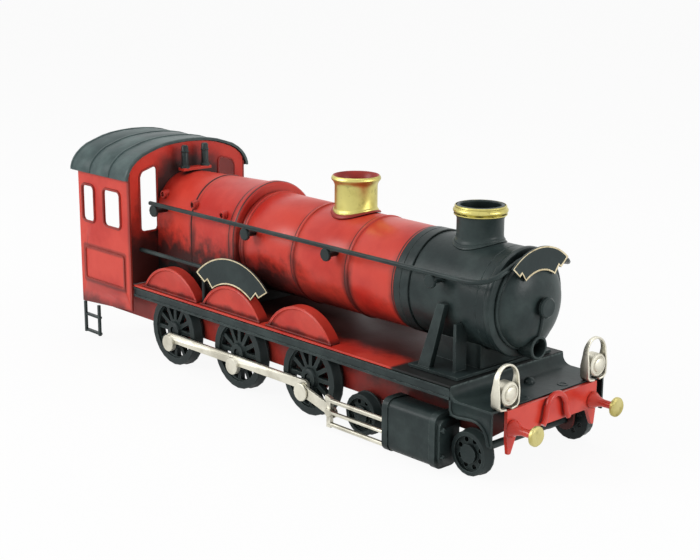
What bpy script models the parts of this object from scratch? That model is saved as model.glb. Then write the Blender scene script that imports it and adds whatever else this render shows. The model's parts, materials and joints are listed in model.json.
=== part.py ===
import math

import bmesh
import bpy
from mathutils import Matrix, Vector

# Clearances and sheet gauges, in metres.
SEAT_GAP = 0.0003
RUN_GAP = 0.00035
SHEET = 0.0010

# Share of the facets that each round piece asks for.
FACET_SHARE = 0.38

# Wheels and their places along the length. X runs to the front, Z up from the rail.
DRIVER_X = -0.0250
DRIVER_SPACING = 0.0560
DRIVER_TREAD_R = 0.0193
DRIVER_FLANGE_R = 0.0199
DRIVER_RIM = 0.0040
DRIVER_HUB_R = 0.0052
SPOKES = 12
SPOKE_WIDTH = 0.0022
WHEEL_INSET = 0.0019
WHEEL_WIDTH = 0.0056
FLANGE_WIDTH = 0.0012
DRIVER_AXLE_R = 0.0020
CRANK_THROW = 0.0063
BOGIE_X = (0.0697, 0.1389)
BOGIE_TREAD_R = 0.0104
BOGIE_FLANGE_R = 0.0109
BOGIE_AXLE_R = 0.0018

# Rod gear.
ROD_INSET = 0.0008
ROD_THICK = 0.0016
ROD_HEIGHT = 0.0050
ROD_LIFT = 0.0030
PIN_R = 0.0018
PIN_HEAD_R = 0.0046
PIN_HEAD_THICK = 0.0010
CON_ROD_LENGTH = 0.0224
CON_ROD_DROP = 0.0050
CON_ROD_HEIGHT = 0.0046
CROSSHEAD_THICK = 0.0020
CROSSHEAD_HEIGHT = 0.0150
GUIDE_R = 0.0012
PISTON_ROD_R = 0.0010
GUIDE_SPREAD = 0.0060
PISTON_Z = 0.0092
ROD_IN_CYLINDER = 0.0150

# Deck, frame and front end.
DECK_Z = 0.0400
DECK_HALF = 0.0395
VALANCE_DROP = 0.0065
VALANCE_LIP = 0.0005
FRAME_INSET = 0.0105
FRAME_THICK = 0.0012
FRAME_BOTTOM = 0.0180
DROP_X = 0.1283
PLATFORM_Z = 0.0340
PLATFORM_END_X = 0.1529
BEAM_THICK = 0.0018
BEAM_HALF = 0.0315
BEAM_HEIGHT = 0.0124
GUARD_DROP = 0.0082
BUFFER_Y = 0.0284
BUFFER_Z = 0.0248
BUFFER_FACE_X = 0.1700
BUFFER_HEAD_R = 0.0046
BUFFER_HEAD_THICK = 0.0030
HOOP_HALF = 0.0105
HOOP_BOTTOM = 0.0205
HOOP_TOP = 0.0362
HOOP_WIRE_R = 0.0014
LAMP_R = 0.0060
LAMP_DEPTH = 0.0080
LAMP_Y = 0.0310
LAMP_HANDLE_RISE = 0.0128
LAMP_WIRE_R = 0.0009

# Boiler, firebox and smokebox.
BOILER_Z = 0.0730
BARREL_FRONT_R = 0.0252
BARREL_REAR_R = 0.0264
BAND_RAISE = 0.0004
BAND_WIDTH = 0.0018
BAND_X = (-0.0335, 0.0060, 0.0454)
SMOKEBOX_X = 0.0776
SMOKEBOX_LENGTH = 0.0595
SMOKEBOX_R = 0.0248
SMOKEBOX_BAND = 0.0095
SMOKEBOX_RING = 0.0008
DOOR_R = 0.0215
DOOR_DOME = 0.0090
DART_R = 0.0046
DART_LENGTH = 0.0030
STUB_R = 0.0056
STUB_OUT = 0.0064
STUB_BELOW = 0.0195
FIREBOX_FRONT_X = -0.0370
FIREBOX_REAR_R = 0.0222
FIREBOX_FRONT_R = 0.0278
FIREBOX_ARCH_Z = 0.0790
FIREBOX_LIP = 0.0011
FIREBOX_LIP_LENGTH = 0.0050
PLUG_X = (-0.1067, -0.0743, -0.0523)
PLUG_RISE = 0.0122
PLUG_R = 0.0023
CHIMNEY_X = 0.1083
CHIMNEY_R = 0.0110
CHIMNEY_FOOT = 0.0022
FOOT_BLEND = 0.0062
CHIMNEY_TOP = 0.1140
CHIMNEY_RING_R = 0.0128
DOME_X = 0.0250
DOME_R = 0.0106
DOME_FOOT = 0.0027
DOME_RIM_R = 0.0127
DOME_TOP = 0.1166
POST_X = -0.1080
POST_Y = 0.0070
POST_R = 0.0020
POST_TOP = 0.1165

# Cab.
CAB_REAR_X = -0.1655
CAB_FRONT_X = -0.1150
CAB_LAP = 0.0015
CAB_BOTTOM = 0.0212
CAB_BOTTOM_RISE = 0.0036
CAB_EAVES_DROP = 0.0209
ROOF_APEX = 0.1185
ROOF_EAVE_DROP = 0.0175
ROOF_OVERHANG = 0.0045
ROOF_FRONT_OVERHANG = 0.0012
ROOF_RIB = 0.0005
WINDOW_BOTTOM = 0.0706
WINDOW_HEAD = 0.0062
PANE_HEAD = 0.0080
WINDOW_1 = (-0.1615, -0.1500)
WINDOW_2 = (-0.1400, -0.1240)
PANEL_X = (-0.1612, -0.1210)
PANEL_Z = (0.0355, 0.0555)
STEP_LENGTH = 0.0157
STEP_DEPTH = 0.0022
STEP_BOTTOM = 0.0024
STEP_TREAD_Z = 0.0132

# Trim.
SPLASHER_X = (-0.0834, -0.0306, 0.0236)
SPLASHER_R = 0.0275
SPLASHER_CENTRE_Z = 0.0270
SPLASHER_INSET = 0.0027
SPLASHER_GAP = 0.0006
PLATE_INNER_GAP = 0.0007
PLATE_DEPTH = 0.0138
RAIL_R = 0.0012
RAIL_Y = 0.0310
RAIL_Z = 0.0865
STANCHION_X = (-0.1050, -0.0250, 0.0370, 0.1070)
STANCHION_R = 0.0034
GRAB_INSET = 0.0055
GRAB_Z = 0.0595
GRAB_END_X = -0.0570

# Cylinders.
CYLINDER_X = 0.0920
CYLINDER_LENGTH = 0.0355
CYLINDER_FLANGE = 0.0035
CYLINDER_PROUD = 0.0067
CYLINDER_HEIGHT = 0.0262
CYLINDER_ROUND = 0.0045

# Values that follow from the ones above.
DRIVER_Z = DRIVER_FLANGE_R
BOGIE_Z = BOGIE_FLANGE_R
PIN_Z = DRIVER_Z - CRANK_THROW
WHEEL_FACE_Y = DECK_HALF - WHEEL_INSET
ROD_Y = DECK_HALF - ROD_INSET
FRAME_Y = DECK_HALF - FRAME_INSET
SPLASHER_FACE_Y = DECK_HALF - SPLASHER_INSET
SPLASHER_INNER_Y = FIREBOX_FRONT_R + FIREBOX_LIP + SPLASHER_GAP
GRAB_Y = DECK_HALF - GRAB_INSET
CYLINDER_OUTER_Y = DECK_HALF + CYLINDER_PROUD
CAB_HALF = DECK_HALF + CAB_LAP
CAB_EAVES = ROOF_APEX - CAB_EAVES_DROP
WINDOW_TOP = CAB_EAVES - WINDOW_HEAD
CON_ROD_Y = ROD_Y + ROD_THICK + RUN_GAP
CON_ROD_OUT_Y = CON_ROD_Y + ROD_THICK - 0.0002
CROSSHEAD_Y = CON_ROD_OUT_Y + RUN_GAP
CROSSHEAD_X = DRIVER_X + DRIVER_SPACING + CON_ROD_LENGTH
GUIDE_Y = CROSSHEAD_Y + CROSSHEAD_THICK / 2.0
DECK_UNDER = DECK_Z - SHEET
FRAME_TOP = DECK_UNDER - SEAT_GAP
DECK_REAR_X = CAB_REAR_X + 0.0010
BEAM_X = PLATFORM_END_X + SEAT_GAP
BEAM_FACE_X = BEAM_X + BEAM_THICK
BEAM_TOP = PLATFORM_Z - 0.0006
SMOKEBOX_END_X = SMOKEBOX_X + SMOKEBOX_LENGTH
CAB_INNER = CAB_HALF - SHEET
ROOF_R = (CAB_HALF ** 2 + ROOF_EAVE_DROP ** 2) / (2.0 * ROOF_EAVE_DROP)
ROOF_CENTRE_Z = ROOF_APEX - ROOF_R
PLATE_R = SPLASHER_R + PLATE_INNER_GAP


def clear_scene():
    for thing in list(bpy.data.objects):
        bpy.data.objects.remove(thing)


def paint(name, colour, metallic, rough):
    material = bpy.data.materials.new(name)
    material.use_nodes = True
    shader = material.node_tree.nodes["Principled BSDF"]
    shader.inputs["Base Color"].default_value = (*colour, 1.0)
    shader.inputs["Metallic"].default_value = metallic
    shader.inputs["Roughness"].default_value = rough
    return material


def solid(name, mesh_data, material, smooth=True):
    bmesh.ops.remove_doubles(mesh_data, verts=mesh_data.verts, dist=1e-7)
    bmesh.ops.triangulate(mesh_data, faces=mesh_data.faces)
    bmesh.ops.recalc_face_normals(mesh_data, faces=mesh_data.faces)
    if mesh_data.calc_volume(signed=True) < 0.0:
        bmesh.ops.reverse_faces(mesh_data, faces=mesh_data.faces)
    mesh = bpy.data.meshes.new(name)
    mesh_data.to_mesh(mesh)
    mesh_data.free()
    thing = bpy.data.objects.new(name, mesh)
    bpy.context.scene.collection.objects.link(thing)
    if material:
        mesh.materials.append(material)
    if smooth:
        mesh.shade_smooth()
        mesh.set_sharp_from_angle(angle=math.radians(35.0))
    return thing


def ring_points(radius, count, start=0.0):
    step = 2.0 * math.pi / count
    return [(radius * math.cos(start + i * step), radius * math.sin(start + i * step)) for i in range(count)]


def arc(cx, cy, radius, a0, a1, count):
    turn = (a1 - a0) / count
    return [(cx + radius * math.cos(a0 + i * turn), cy + radius * math.sin(a0 + i * turn)) for i in range(count + 1)]


def place(plane, u, v, w):
    if plane == "xz":
        return Vector((u, w, v))
    if plane == "yz":
        return Vector((w, u, v))
    return Vector((u, v, w))


# A flat outline with optional holes, given thickness across its plane.
def slab(name, plane, outline, low, high, material, holes=(), smooth=True):
    data = bmesh.new()
    edges = []
    for loop in (outline, *holes):
        verts = [data.verts.new(place(plane, u, v, low)) for u, v in loop]
        for i, vert in enumerate(verts):
            edges.append(data.edges.new((vert, verts[(i + 1) % len(verts)])))
    filled = bmesh.ops.triangle_fill(data, use_beauty=True, use_dissolve=False, edges=edges)
    faces = [f for f in filled["geom"] if isinstance(f, bmesh.types.BMFace)]
    pushed = bmesh.ops.extrude_face_region(data, geom=faces, use_keep_orig=True)
    moved = [v for v in pushed["geom"] if isinstance(v, bmesh.types.BMVert)]
    bmesh.ops.translate(data, verts=moved, vec=place(plane, 0.0, 0.0, high - low))
    return solid(name, data, material, smooth)


def block(name, x, y, z, material):
    return slab(name, "xy", [(x[0], y[0]), (x[1], y[0]), (x[1], y[1]), (x[0], y[1])], z[0], z[1], material, (), False)


# A profile of (radius, distance) pairs turned about an axis through a point.
def turned(name, axis, centre, profile, material, count=48, closed=False):
    data = bmesh.new()
    count = 2 * round(count * FACET_SHARE / 2.0) if count > 8 else count
    rows = []
    for radius, along in profile:
        if radius < 1e-9:
            rows.append([data.verts.new(turned_point(axis, centre, 0.0, 0.0, along))])
            continue
        rows.append([data.verts.new(turned_point(axis, centre, a, b, along)) for a, b in ring_points(radius, count)])
    if closed:
        rows.append(rows[0])
    for one, two in zip(rows, rows[1:]):
        for i in range(count):
            j = (i + 1) % count
            corner = [one[i % len(one)], one[j % len(one)], two[j % len(two)], two[i % len(two)]]
            unique = list(dict.fromkeys(corner))
            if len(unique) > 2:
                data.faces.new(unique)
    return solid(name, data, material)


def turned_point(axis, centre, a, b, along):
    if axis == "x":
        return Vector(centre) + Vector((along, a, b))
    if axis == "y":
        return Vector(centre) + Vector((a, along, b))
    return Vector(centre) + Vector((a, b, along))


# A round wire through a list of points, with flat ends.
def wire(name, points, radius, material, count=12):
    data = bmesh.new()
    path = [Vector(p) for p in points]
    rows = []
    guide = None
    for i, point in enumerate(path):
        before = path[max(i - 1, 0)]
        after = path[min(i + 1, len(path) - 1)]
        along = (after - before).normalized()
        if guide is None:
            guide = Vector((0.0, 0.0, 1.0)) if abs(along.z) < 0.9 else Vector((1.0, 0.0, 0.0))
        side = along.cross(guide).normalized()
        guide = side.cross(along).normalized()
        rows.append([data.verts.new(point + side * a + guide * b) for a, b in ring_points(radius, count)])
    for one, two in zip(rows, rows[1:]):
        for i in range(count):
            j = (i + 1) % count
            data.faces.new((one[i], one[j], two[j], two[i]))
    data.faces.new(rows[0])
    data.faces.new(rows[-1])
    return solid(name, data, material)


def combine(target, others, operation):
    for other in others:
        step = target.modifiers.new("step", "BOOLEAN")
        step.solver = "EXACT"
        step.operation = operation
        step.object = other
        graph = bpy.context.evaluated_depsgraph_get()
        mesh = bpy.data.meshes.new_from_object(target.evaluated_get(graph))
        target.modifiers.clear()
        data = bmesh.new()
        data.from_mesh(mesh)
        bmesh.ops.remove_doubles(data, verts=data.verts, dist=2e-6)
        bmesh.ops.dissolve_degenerate(data, edges=data.edges, dist=2e-6)
        bmesh.ops.dissolve_limit(data, angle_limit=math.radians(0.3), verts=data.verts, edges=data.edges)
        bmesh.ops.triangulate(data, faces=data.faces)
        data.to_mesh(mesh)
        data.free()
        old = target.data
        target.data = mesh
        bpy.data.meshes.remove(old)
        bpy.data.objects.remove(other)
    target.data.shade_smooth()
    target.data.set_sharp_from_angle(angle=math.radians(35.0))
    return target


def join_cutters(cutters):
    data = bmesh.new()
    for cutter in cutters:
        data.from_mesh(cutter.data)
        bpy.data.objects.remove(cutter)
    return solid("cutter", data, None)


def fuse(target, *others):
    return combine(target, others, "UNION")


def cut(target, *others):
    return combine(target, others, "DIFFERENCE")


# Moves the origin onto the joint axis while the mesh stays where it is.
def set_origin(thing, point):
    thing.data.transform(Matrix.Translation(-Vector(point)))
    thing.location = point
    return thing


def side_span(side, near, far):
    return (side * near, side * far) if side > 0 else (side * far, side * near)


def driving_wheel(name, side, x):
    outer = WHEEL_FACE_Y
    inner = outer - WHEEL_WIDTH
    flange = inner + FLANGE_WIDTH
    web_out = outer - 0.0014
    web_in = inner + 0.0014
    rim_r = DRIVER_TREAD_R - DRIVER_RIM
    bore = DRIVER_AXLE_R + SEAT_GAP
    hub_out = outer + 0.0004
    profile = [
        (bore, web_in),
        (rim_r, web_in),
        (rim_r, inner),
        (DRIVER_FLANGE_R, inner),
        (DRIVER_FLANGE_R, flange - 0.0003),
        (DRIVER_TREAD_R, flange),
        (DRIVER_TREAD_R, outer - 0.0004),
        (DRIVER_TREAD_R - 0.0004, outer),
        (rim_r, outer),
        (rim_r, web_out),
        (DRIVER_HUB_R, web_out),
        (DRIVER_HUB_R - 0.0004, hub_out),
        (bore, hub_out),
    ]
    profile = [(r, side * t) for r, t in profile]
    centre = (x, 0.0, DRIVER_Z)
    wheel = turned(name, "y", centre, profile, BLACK, 64, True)
    low = DRIVER_HUB_R + 0.0010
    high = rim_r - 0.0006
    windows = []
    for i in range(SPOKES):
        mid = math.pi / 2.0 + math.pi / SPOKES + i * 2.0 * math.pi / SPOKES
        half = math.pi / SPOKES
        in_turn = half - SPOKE_WIDTH / 2.0 / low
        out_turn = half - SPOKE_WIDTH / 2.0 / high
        shape = arc(x, DRIVER_Z, high, mid - out_turn, mid + out_turn, 3)
        shape += arc(x, DRIVER_Z, low, mid + in_turn, mid - in_turn, 1)
        span = side_span(side, inner - 0.001, outer + 0.001)
        windows.append(slab("window", "xz", shape, span[0], span[1], None))
    cut(wheel, join_cutters(windows))
    pin = (x, 0.0, PIN_Z)
    boss_r = PIN_R + RUN_GAP + 0.0017
    boss_in = web_in + 0.0006
    boss_out = hub_out + 0.0002
    boss_profile = [(0.0, boss_in), (boss_r, boss_in), (boss_r, boss_out - 0.0003), (boss_r - 0.0003, boss_out), (0.0, boss_out)]
    boss = turned("boss", "y", pin, [(r, side * t) for r, t in boss_profile], None, 32)
    fuse(wheel, boss)
    hole = PIN_R + RUN_GAP
    start = outer - 0.0034
    pin_bore = turned("bore", "y", pin, [(0.0, side * start), (hole, side * start),
                                         (hole, side * (outer + 0.002)), (0.0, side * (outer + 0.002))], None, 32)
    cut(wheel, pin_bore)
    return set_origin(wheel, centre)


def driving_axle(name, x):
    end = WHEEL_FACE_Y - 0.0004
    profile = [(0.0, -end), (DRIVER_AXLE_R, -end), (DRIVER_AXLE_R, end), (0.0, end)]
    return set_origin(turned(name, "y", (x, 0.0, DRIVER_Z), profile, STEEL, 32), (x, 0.0, DRIVER_Z))


def bogie_wheelset(name, x):
    outer = WHEEL_FACE_Y + 0.0010
    inner = outer - WHEEL_WIDTH
    flange = inner + FLANGE_WIDTH
    rim = BOGIE_TREAD_R - 0.0022
    hub = 0.0044
    right = [
        (BOGIE_AXLE_R, inner),
        (BOGIE_FLANGE_R, inner),
        (BOGIE_FLANGE_R, flange - 0.0003),
        (BOGIE_TREAD_R, flange),
        (BOGIE_TREAD_R, outer - 0.0004),
        (BOGIE_TREAD_R - 0.0004, outer),
        (rim, outer),
        (rim, outer - 0.0016),
        (hub, outer - 0.0016),
        (hub, outer + 0.0002),
        (BOGIE_AXLE_R, outer + 0.0002),
        (0.0, outer + 0.0006),
    ]
    profile = [(r, -t) for r, t in reversed(right)] + right
    wheelset = turned(name, "y", (x, 0.0, BOGIE_Z), profile, BLACK, 54)
    return set_origin(wheelset, (x, 0.0, BOGIE_Z))


def rod_pin(x, side, head_from, head_to):
    deep = WHEEL_FACE_Y - 0.0028
    shape = [
        (0.0, deep),
        (PIN_R, deep),
        (PIN_R, head_from),
        (PIN_HEAD_R, head_from),
        (PIN_HEAD_R, head_to - 0.0003),
        (PIN_HEAD_R - 0.0003, head_to),
        (0.0, head_to),
    ]
    return turned("pin", "y", (x, 0.0, PIN_Z), [(r, side * t) for r, t in shape], None, 40)


def coupling_rod(name, side):
    ends = (DRIVER_X - DRIVER_SPACING, DRIVER_X + DRIVER_SPACING)
    low = PIN_Z + ROD_LIFT - ROD_HEIGHT / 2.0
    high = low + ROD_HEIGHT
    round_r = ROD_HEIGHT / 2.0
    shape = arc(ends[1], low + round_r, round_r, -math.pi / 2.0, math.pi / 2.0, 8)
    shape += arc(ends[0], high - round_r, round_r, math.pi / 2.0, 1.5 * math.pi, 8)
    span = side_span(side, ROD_Y, ROD_Y + ROD_THICK)
    rod = slab(name, "xz", shape, span[0], span[1], STEEL)
    heads = ROD_Y + 0.0005
    fuse(rod, rod_pin(ends[0], side, heads, CON_ROD_OUT_Y))
    fuse(rod, rod_pin(DRIVER_X, side, heads, CON_ROD_OUT_Y))
    fuse(rod, rod_pin(ends[1], side, CROSSHEAD_Y, CROSSHEAD_Y + PIN_HEAD_THICK))
    return set_origin(rod, (DRIVER_X, 0.0, PIN_Z))


def connecting_rod(name, side):
    x0 = DRIVER_X + DRIVER_SPACING
    x1 = x0 + CON_ROD_LENGTH
    z1 = PIN_Z - CON_ROD_DROP
    big = PIN_HEAD_R - 0.0006
    small = 0.0028
    half = CON_ROD_HEIGHT / 2.0
    shape = arc(x0, PIN_Z, big, math.radians(50.0), math.radians(300.0), 24)
    shape += [(x0 + big, PIN_Z - half - 0.0006)]
    shape += arc(x1, z1, small, -math.pi / 2.0, math.pi / 2.0, 12)
    shape += [(x0 + big, PIN_Z + half + 0.0006)]
    hole = [(x0 + u, PIN_Z + v) for u, v in ring_points(PIN_R + RUN_GAP, 32)]
    span = side_span(side, CON_ROD_Y, CON_ROD_OUT_Y)
    rod = slab(name, "xz", shape, span[0], span[1], STEEL, (hole,))
    return set_origin(rod, (x0, 0.0, PIN_Z))


def crosshead(name, side):
    low = PISTON_Z - CROSSHEAD_HEIGHT / 2.0
    high = PISTON_Z + CROSSHEAD_HEIGHT / 2.0
    x0 = CROSSHEAD_X - 0.0014
    x1 = CROSSHEAD_X + 0.0014
    shape = [(x0, low), (x1, low), (x1, high), (x0 - 0.0008, high + 0.0010), (x0 - 0.0014, high - 0.0014), (x0, high - 0.0026)]
    span = side_span(side, CROSSHEAD_Y, CROSSHEAD_Y + CROSSHEAD_THICK)
    yoke = slab(name, "xz", shape, span[0], span[1], STEEL)
    start = CROSSHEAD_X - 0.0004
    finish = CYLINDER_X + ROD_IN_CYLINDER
    for lift, radius in ((-GUIDE_SPREAD, GUIDE_R), (0.0, PISTON_ROD_R), (GUIDE_SPREAD, GUIDE_R)):
        spot = (0.0, side * GUIDE_Y, PISTON_Z + lift)
        shape = [(0.0, start), (radius, start), (radius, finish), (0.0, finish)]
        fuse(yoke, turned("rod", "x", spot, shape, None, 20))
    knob_y = side * (CROSSHEAD_Y + CROSSHEAD_THICK)
    knob = [(0.0, -0.0004), (0.0022, -0.0004), (0.0022, 0.0006), (0.0018, 0.0009), (0.0, 0.0009)]
    knob = [(r, side * t) for r, t in knob]
    fuse(yoke, turned("knob", "y", (CROSSHEAD_X, knob_y, PISTON_Z), knob, None, 24))
    return set_origin(yoke, (CROSSHEAD_X, side * GUIDE_Y, PISTON_Z))


def round_box(y0, y1, z0, z1, r):
    shape = arc(y1 - r, z1 - r, r, 0.0, math.pi / 2.0, 5)
    shape += arc(y0 + r, z1 - r, r, math.pi / 2.0, math.pi, 5)
    shape += arc(y0 + r, z0 + r, r, math.pi, 1.5 * math.pi, 5)
    shape += arc(y1 - r, z0 + r, r, 1.5 * math.pi, 2.0 * math.pi, 5)
    return shape


def cylinder(name, side):
    inner = FRAME_Y + FRAME_THICK + SEAT_GAP
    low = PISTON_Z - GUIDE_SPREAD - GUIDE_R - RUN_GAP - 0.0009
    high = low + CYLINDER_HEIGHT
    span = side_span(side, inner, CYLINDER_OUTER_Y)
    small = side_span(side, inner + 0.0006, CYLINDER_OUTER_Y - 0.0005)
    x0 = CYLINDER_X
    x1 = x0 + CYLINDER_FLANGE
    x2 = x0 + CYLINDER_LENGTH - CYLINDER_FLANGE - 0.0020
    x3 = x2 + CYLINDER_FLANGE
    flange_out = round_box(span[0], span[1], low, high, CYLINDER_ROUND)
    body_out = round_box(small[0], small[1], low + 0.0004, high - 0.0007, CYLINDER_ROUND - 0.0004)
    body = slab(name, "yz", body_out, x0 + 0.0010, x3 - 0.0010, BLACK)
    fuse(body, slab("flange", "yz", flange_out, x0, x1, None))
    fuse(body, slab("flange", "yz", flange_out, x2, x3, None))
    cover = round_box(small[0] + 0.0008, small[1] - 0.0008, low + 0.0020, high - 0.0025, CYLINDER_ROUND - 0.0008)
    fuse(body, slab("cover", "yz", cover, x3 - 0.0008, x3 + 0.0020, None))
    for z in (low + 0.0065, high - 0.0070):
        spot = (x3, side * GUIDE_Y, z)
        shape = [(0.0, 0.0), (0.0013, 0.0), (0.0013, 0.0032), (0.0009, 0.0036), (0.0, 0.0036)]
        fuse(body, turned("bolt", "x", spot, shape, None, 12))
    bores = []
    deep = x0 + ROD_IN_CYLINDER + CRANK_THROW + 0.0030
    for lift, radius in ((-GUIDE_SPREAD, GUIDE_R), (0.0, PISTON_ROD_R), (GUIDE_SPREAD, GUIDE_R)):
        spot = (0.0, side * GUIDE_Y, PISTON_Z + lift)
        hole = radius + RUN_GAP
        shape = [(0.0, x0 - 0.002), (hole, x0 - 0.002), (hole, deep), (0.0, deep)]
        bores.append(turned("bore", "x", spot, shape, None, 20))
    return cut(body, join_cutters(bores))


def frame_plate(name, side):
    rear = DECK_REAR_X + 0.0040
    front = PLATFORM_END_X - 0.0010
    low_top = PLATFORM_Z - SHEET - SEAT_GAP
    step_x = DROP_X - 0.0010
    shape = [(rear, FRAME_TOP), (rear, FRAME_BOTTOM + 0.0060), (rear + 0.0100, FRAME_BOTTOM)]
    for x in (DRIVER_X - DRIVER_SPACING, DRIVER_X, DRIVER_X + DRIVER_SPACING):
        lug = DRIVER_AXLE_R + 0.0050
        shape += [(x - lug - 0.0004, FRAME_BOTTOM)]
        shape += arc(x, DRIVER_Z - 0.0012, lug, math.pi, 2.0 * math.pi, 8)
        shape += [(x + lug + 0.0004, FRAME_BOTTOM)]
    for x in BOGIE_X:
        lug = BOGIE_AXLE_R + 0.0034
        shape += [(x - lug - 0.0006, FRAME_BOTTOM)]
        shape += arc(x, BOGIE_Z, lug, math.pi, 2.0 * math.pi, 8)
        shape += [(x + lug + 0.0006, FRAME_BOTTOM)]
    shape += [(front, FRAME_BOTTOM + 0.0050), (front, low_top), (step_x, low_top), (step_x, FRAME_TOP)]
    holes = []
    for x in (DRIVER_X - DRIVER_SPACING, DRIVER_X, DRIVER_X + DRIVER_SPACING):
        holes.append([(x + u, DRIVER_Z + v) for u, v in ring_points(DRIVER_AXLE_R + RUN_GAP, 14)])
    for x in BOGIE_X:
        holes.append([(x + u, BOGIE_Z + v) for u, v in ring_points(BOGIE_AXLE_R + RUN_GAP, 14)])
    span = side_span(side, FRAME_Y, FRAME_Y + FRAME_THICK)
    return slab(name, "xz", shape, span[0], span[1], RED, holes)


def deck(name):
    x0 = DECK_REAR_X
    x1 = DROP_X - SEAT_GAP
    shape = [(x0, -DECK_HALF), (x1, -DECK_HALF), (x1, DECK_HALF), (x0, DECK_HALF)]
    slots = []
    y0 = WHEEL_FACE_Y - WHEEL_WIDTH - 0.0010
    y1 = WHEEL_FACE_Y + 0.0006
    for x in (DRIVER_X - DRIVER_SPACING, DRIVER_X, DRIVER_X + DRIVER_SPACING):
        for low, high in ((-y1, -y0), (y0, y1)):
            slots.append([(x - 0.0100, low), (x + 0.0100, low), (x + 0.0100, high), (x - 0.0100, high)])
    return slab(name, "xy", shape, DECK_UNDER, DECK_Z, RED, slots)


def valance(name, side):
    y0 = DECK_HALF - SHEET
    top = DECK_UNDER - SEAT_GAP
    low = DECK_Z - VALANCE_DROP
    lip = DECK_HALF + VALANCE_LIP
    shape = [(y0, low), (lip, low), (lip, low + 0.0012), (DECK_HALF, low + 0.0012),
             (DECK_HALF, top - 0.0008), (lip, top - 0.0008), (lip, top), (y0, top)]
    shape = [(side * u, v) for u, v in shape]
    return slab(name, "yz", shape, CAB_FRONT_X + SEAT_GAP, DROP_X - SEAT_GAP, BLACK)


def front_platform(name):
    x0 = DROP_X
    end = PLATFORM_END_X
    fall = DECK_Z - PLATFORM_Z
    curve = arc(x0 + 0.0046, PLATFORM_Z + fall * 0.76, 0.0044, math.pi, 1.5 * math.pi, 6)
    curve = [(u, max(v, PLATFORM_Z)) for u, v in curve]
    top = [(x0, DECK_Z)] + curve[1:-1] + [(x0 + 0.0050, PLATFORM_Z), (end, PLATFORM_Z)]
    under = PLATFORM_Z - SHEET
    sheet = top + [(end, under), (x0, under)]
    body = slab(name, "xz", sheet, -DECK_HALF, DECK_HALF, BLACK)
    skirt = [(x0, under + 0.0006), (x0, 0.0262), (x0 + 0.0050, 0.0264), (x0 + 0.0130, 0.0275), (x0 + 0.0180, 0.0268),
             (x0 + 0.0215, 0.0235), (end - 0.0018, 0.0175), (end, 0.0175), (end, under + 0.0006)]
    for side in (-1.0, 1.0):
        span = side_span(side, DECK_HALF - SHEET, DECK_HALF - 0.00001)
        fuse(body, slab("skirt", "xz", skirt, span[0], span[1], None))
    return body


def buffer_beam(name):
    low = BEAM_TOP - BEAM_HEIGHT
    tip = low - GUARD_DROP
    half = BEAM_HALF
    shape = [(-half, BEAM_TOP), (-half, low), (-half + 0.0012, tip), (-half + 0.0028, tip), (-half + 0.0066, low),
             (half - 0.0066, low), (half - 0.0028, tip), (half - 0.0012, tip), (half, low), (half, BEAM_TOP)]
    return slab(name, "yz", shape, BEAM_X, BEAM_FACE_X, RED)


def buffer_shank(name, side):
    start = BEAM_FACE_X + SEAT_GAP
    finish = BUFFER_FACE_X - BUFFER_HEAD_THICK - SEAT_GAP
    spot = (0.0, side * BUFFER_Y, BUFFER_Z)
    shape = [(0.0, start), (0.0040, start), (0.0040, start + 0.0010), (0.0027, start + 0.0028), (0.0018, start + 0.0060),
             (0.0018, finish), (0.0, finish)]
    return turned(name, "x", spot, shape, RED, 32)


def buffer_head(name, side):
    start = BUFFER_FACE_X - BUFFER_HEAD_THICK
    spot = (0.0, side * BUFFER_Y, BUFFER_Z)
    r = BUFFER_HEAD_R
    shape = [(0.0, start), (0.0026, start), (r, start + 0.0012), (r, BUFFER_FACE_X - 0.0006), (r - 0.0006, BUFFER_FACE_X),
             (0.0, BUFFER_FACE_X)]
    return turned(name, "x", spot, shape, BRASS, 40)


def coupling_hoop(name):
    x = BEAM_FACE_X + SEAT_GAP + HOOP_WIRE_R
    w = HOOP_HALF - HOOP_WIRE_R
    top = HOOP_TOP - HOOP_WIRE_R
    low = HOOP_BOTTOM + HOOP_WIRE_R
    half = [(w, low), (w * 0.86, low + 0.0016), (w * 0.78, low + 0.0045), (w * 0.74, top - 0.0052)]
    bend = arc(0.0, top - w * 0.70, w * 0.70, math.radians(20.0), math.radians(160.0), 10)
    path = [(x, y, z) for y, z in half] + [(x, y, z) for y, z in bend] + [(x, -y, z) for y, z in reversed(half)]
    return wire(name, path, HOOP_WIRE_R, RED, 8)


def lamp(name, side):
    base = PLATFORM_Z + SEAT_GAP
    z = base + LAMP_R + 0.0004
    x1 = BEAM_FACE_X + 0.0020
    x0 = x1 - LAMP_DEPTH
    y = side * LAMP_Y
    r = LAMP_R
    shape = [(0.0, x0), (r - 0.0006, x0), (r, x0 + 0.0006), (r, x1 - 0.0010), (r - 0.0004, x1 - 0.0004), (r - 0.0012, x1 - 0.0004),
             (r - 0.0014, x1 - 0.0010), (0.0, x1 - 0.0002)]
    body = turned(name, "x", (0.0, y, z), shape, NICKEL, 40)
    foot = block("foot", (x0 + 0.0015, PLATFORM_END_X - 0.0004), (y - 0.0030, y + 0.0030), (base, z - r + 0.0012), None)
    fuse(body, foot)
    legs = r + LAMP_WIRE_R - 0.0004
    top = z + LAMP_HANDLE_RISE - legs
    mid = (x0 + x1) / 2.0
    path = [(mid, y + legs, z - 0.0015), (mid, y + legs, z + 0.0030)]
    path += [(mid, y + u, v) for u, v in arc(0.0, top, legs, 0.0, math.pi, 14)]
    path += [(mid, y - legs, z + 0.0030), (mid, y - legs, z - 0.0015)]
    return fuse(body, wire("handle", path, LAMP_WIRE_R, None, 6))


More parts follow.
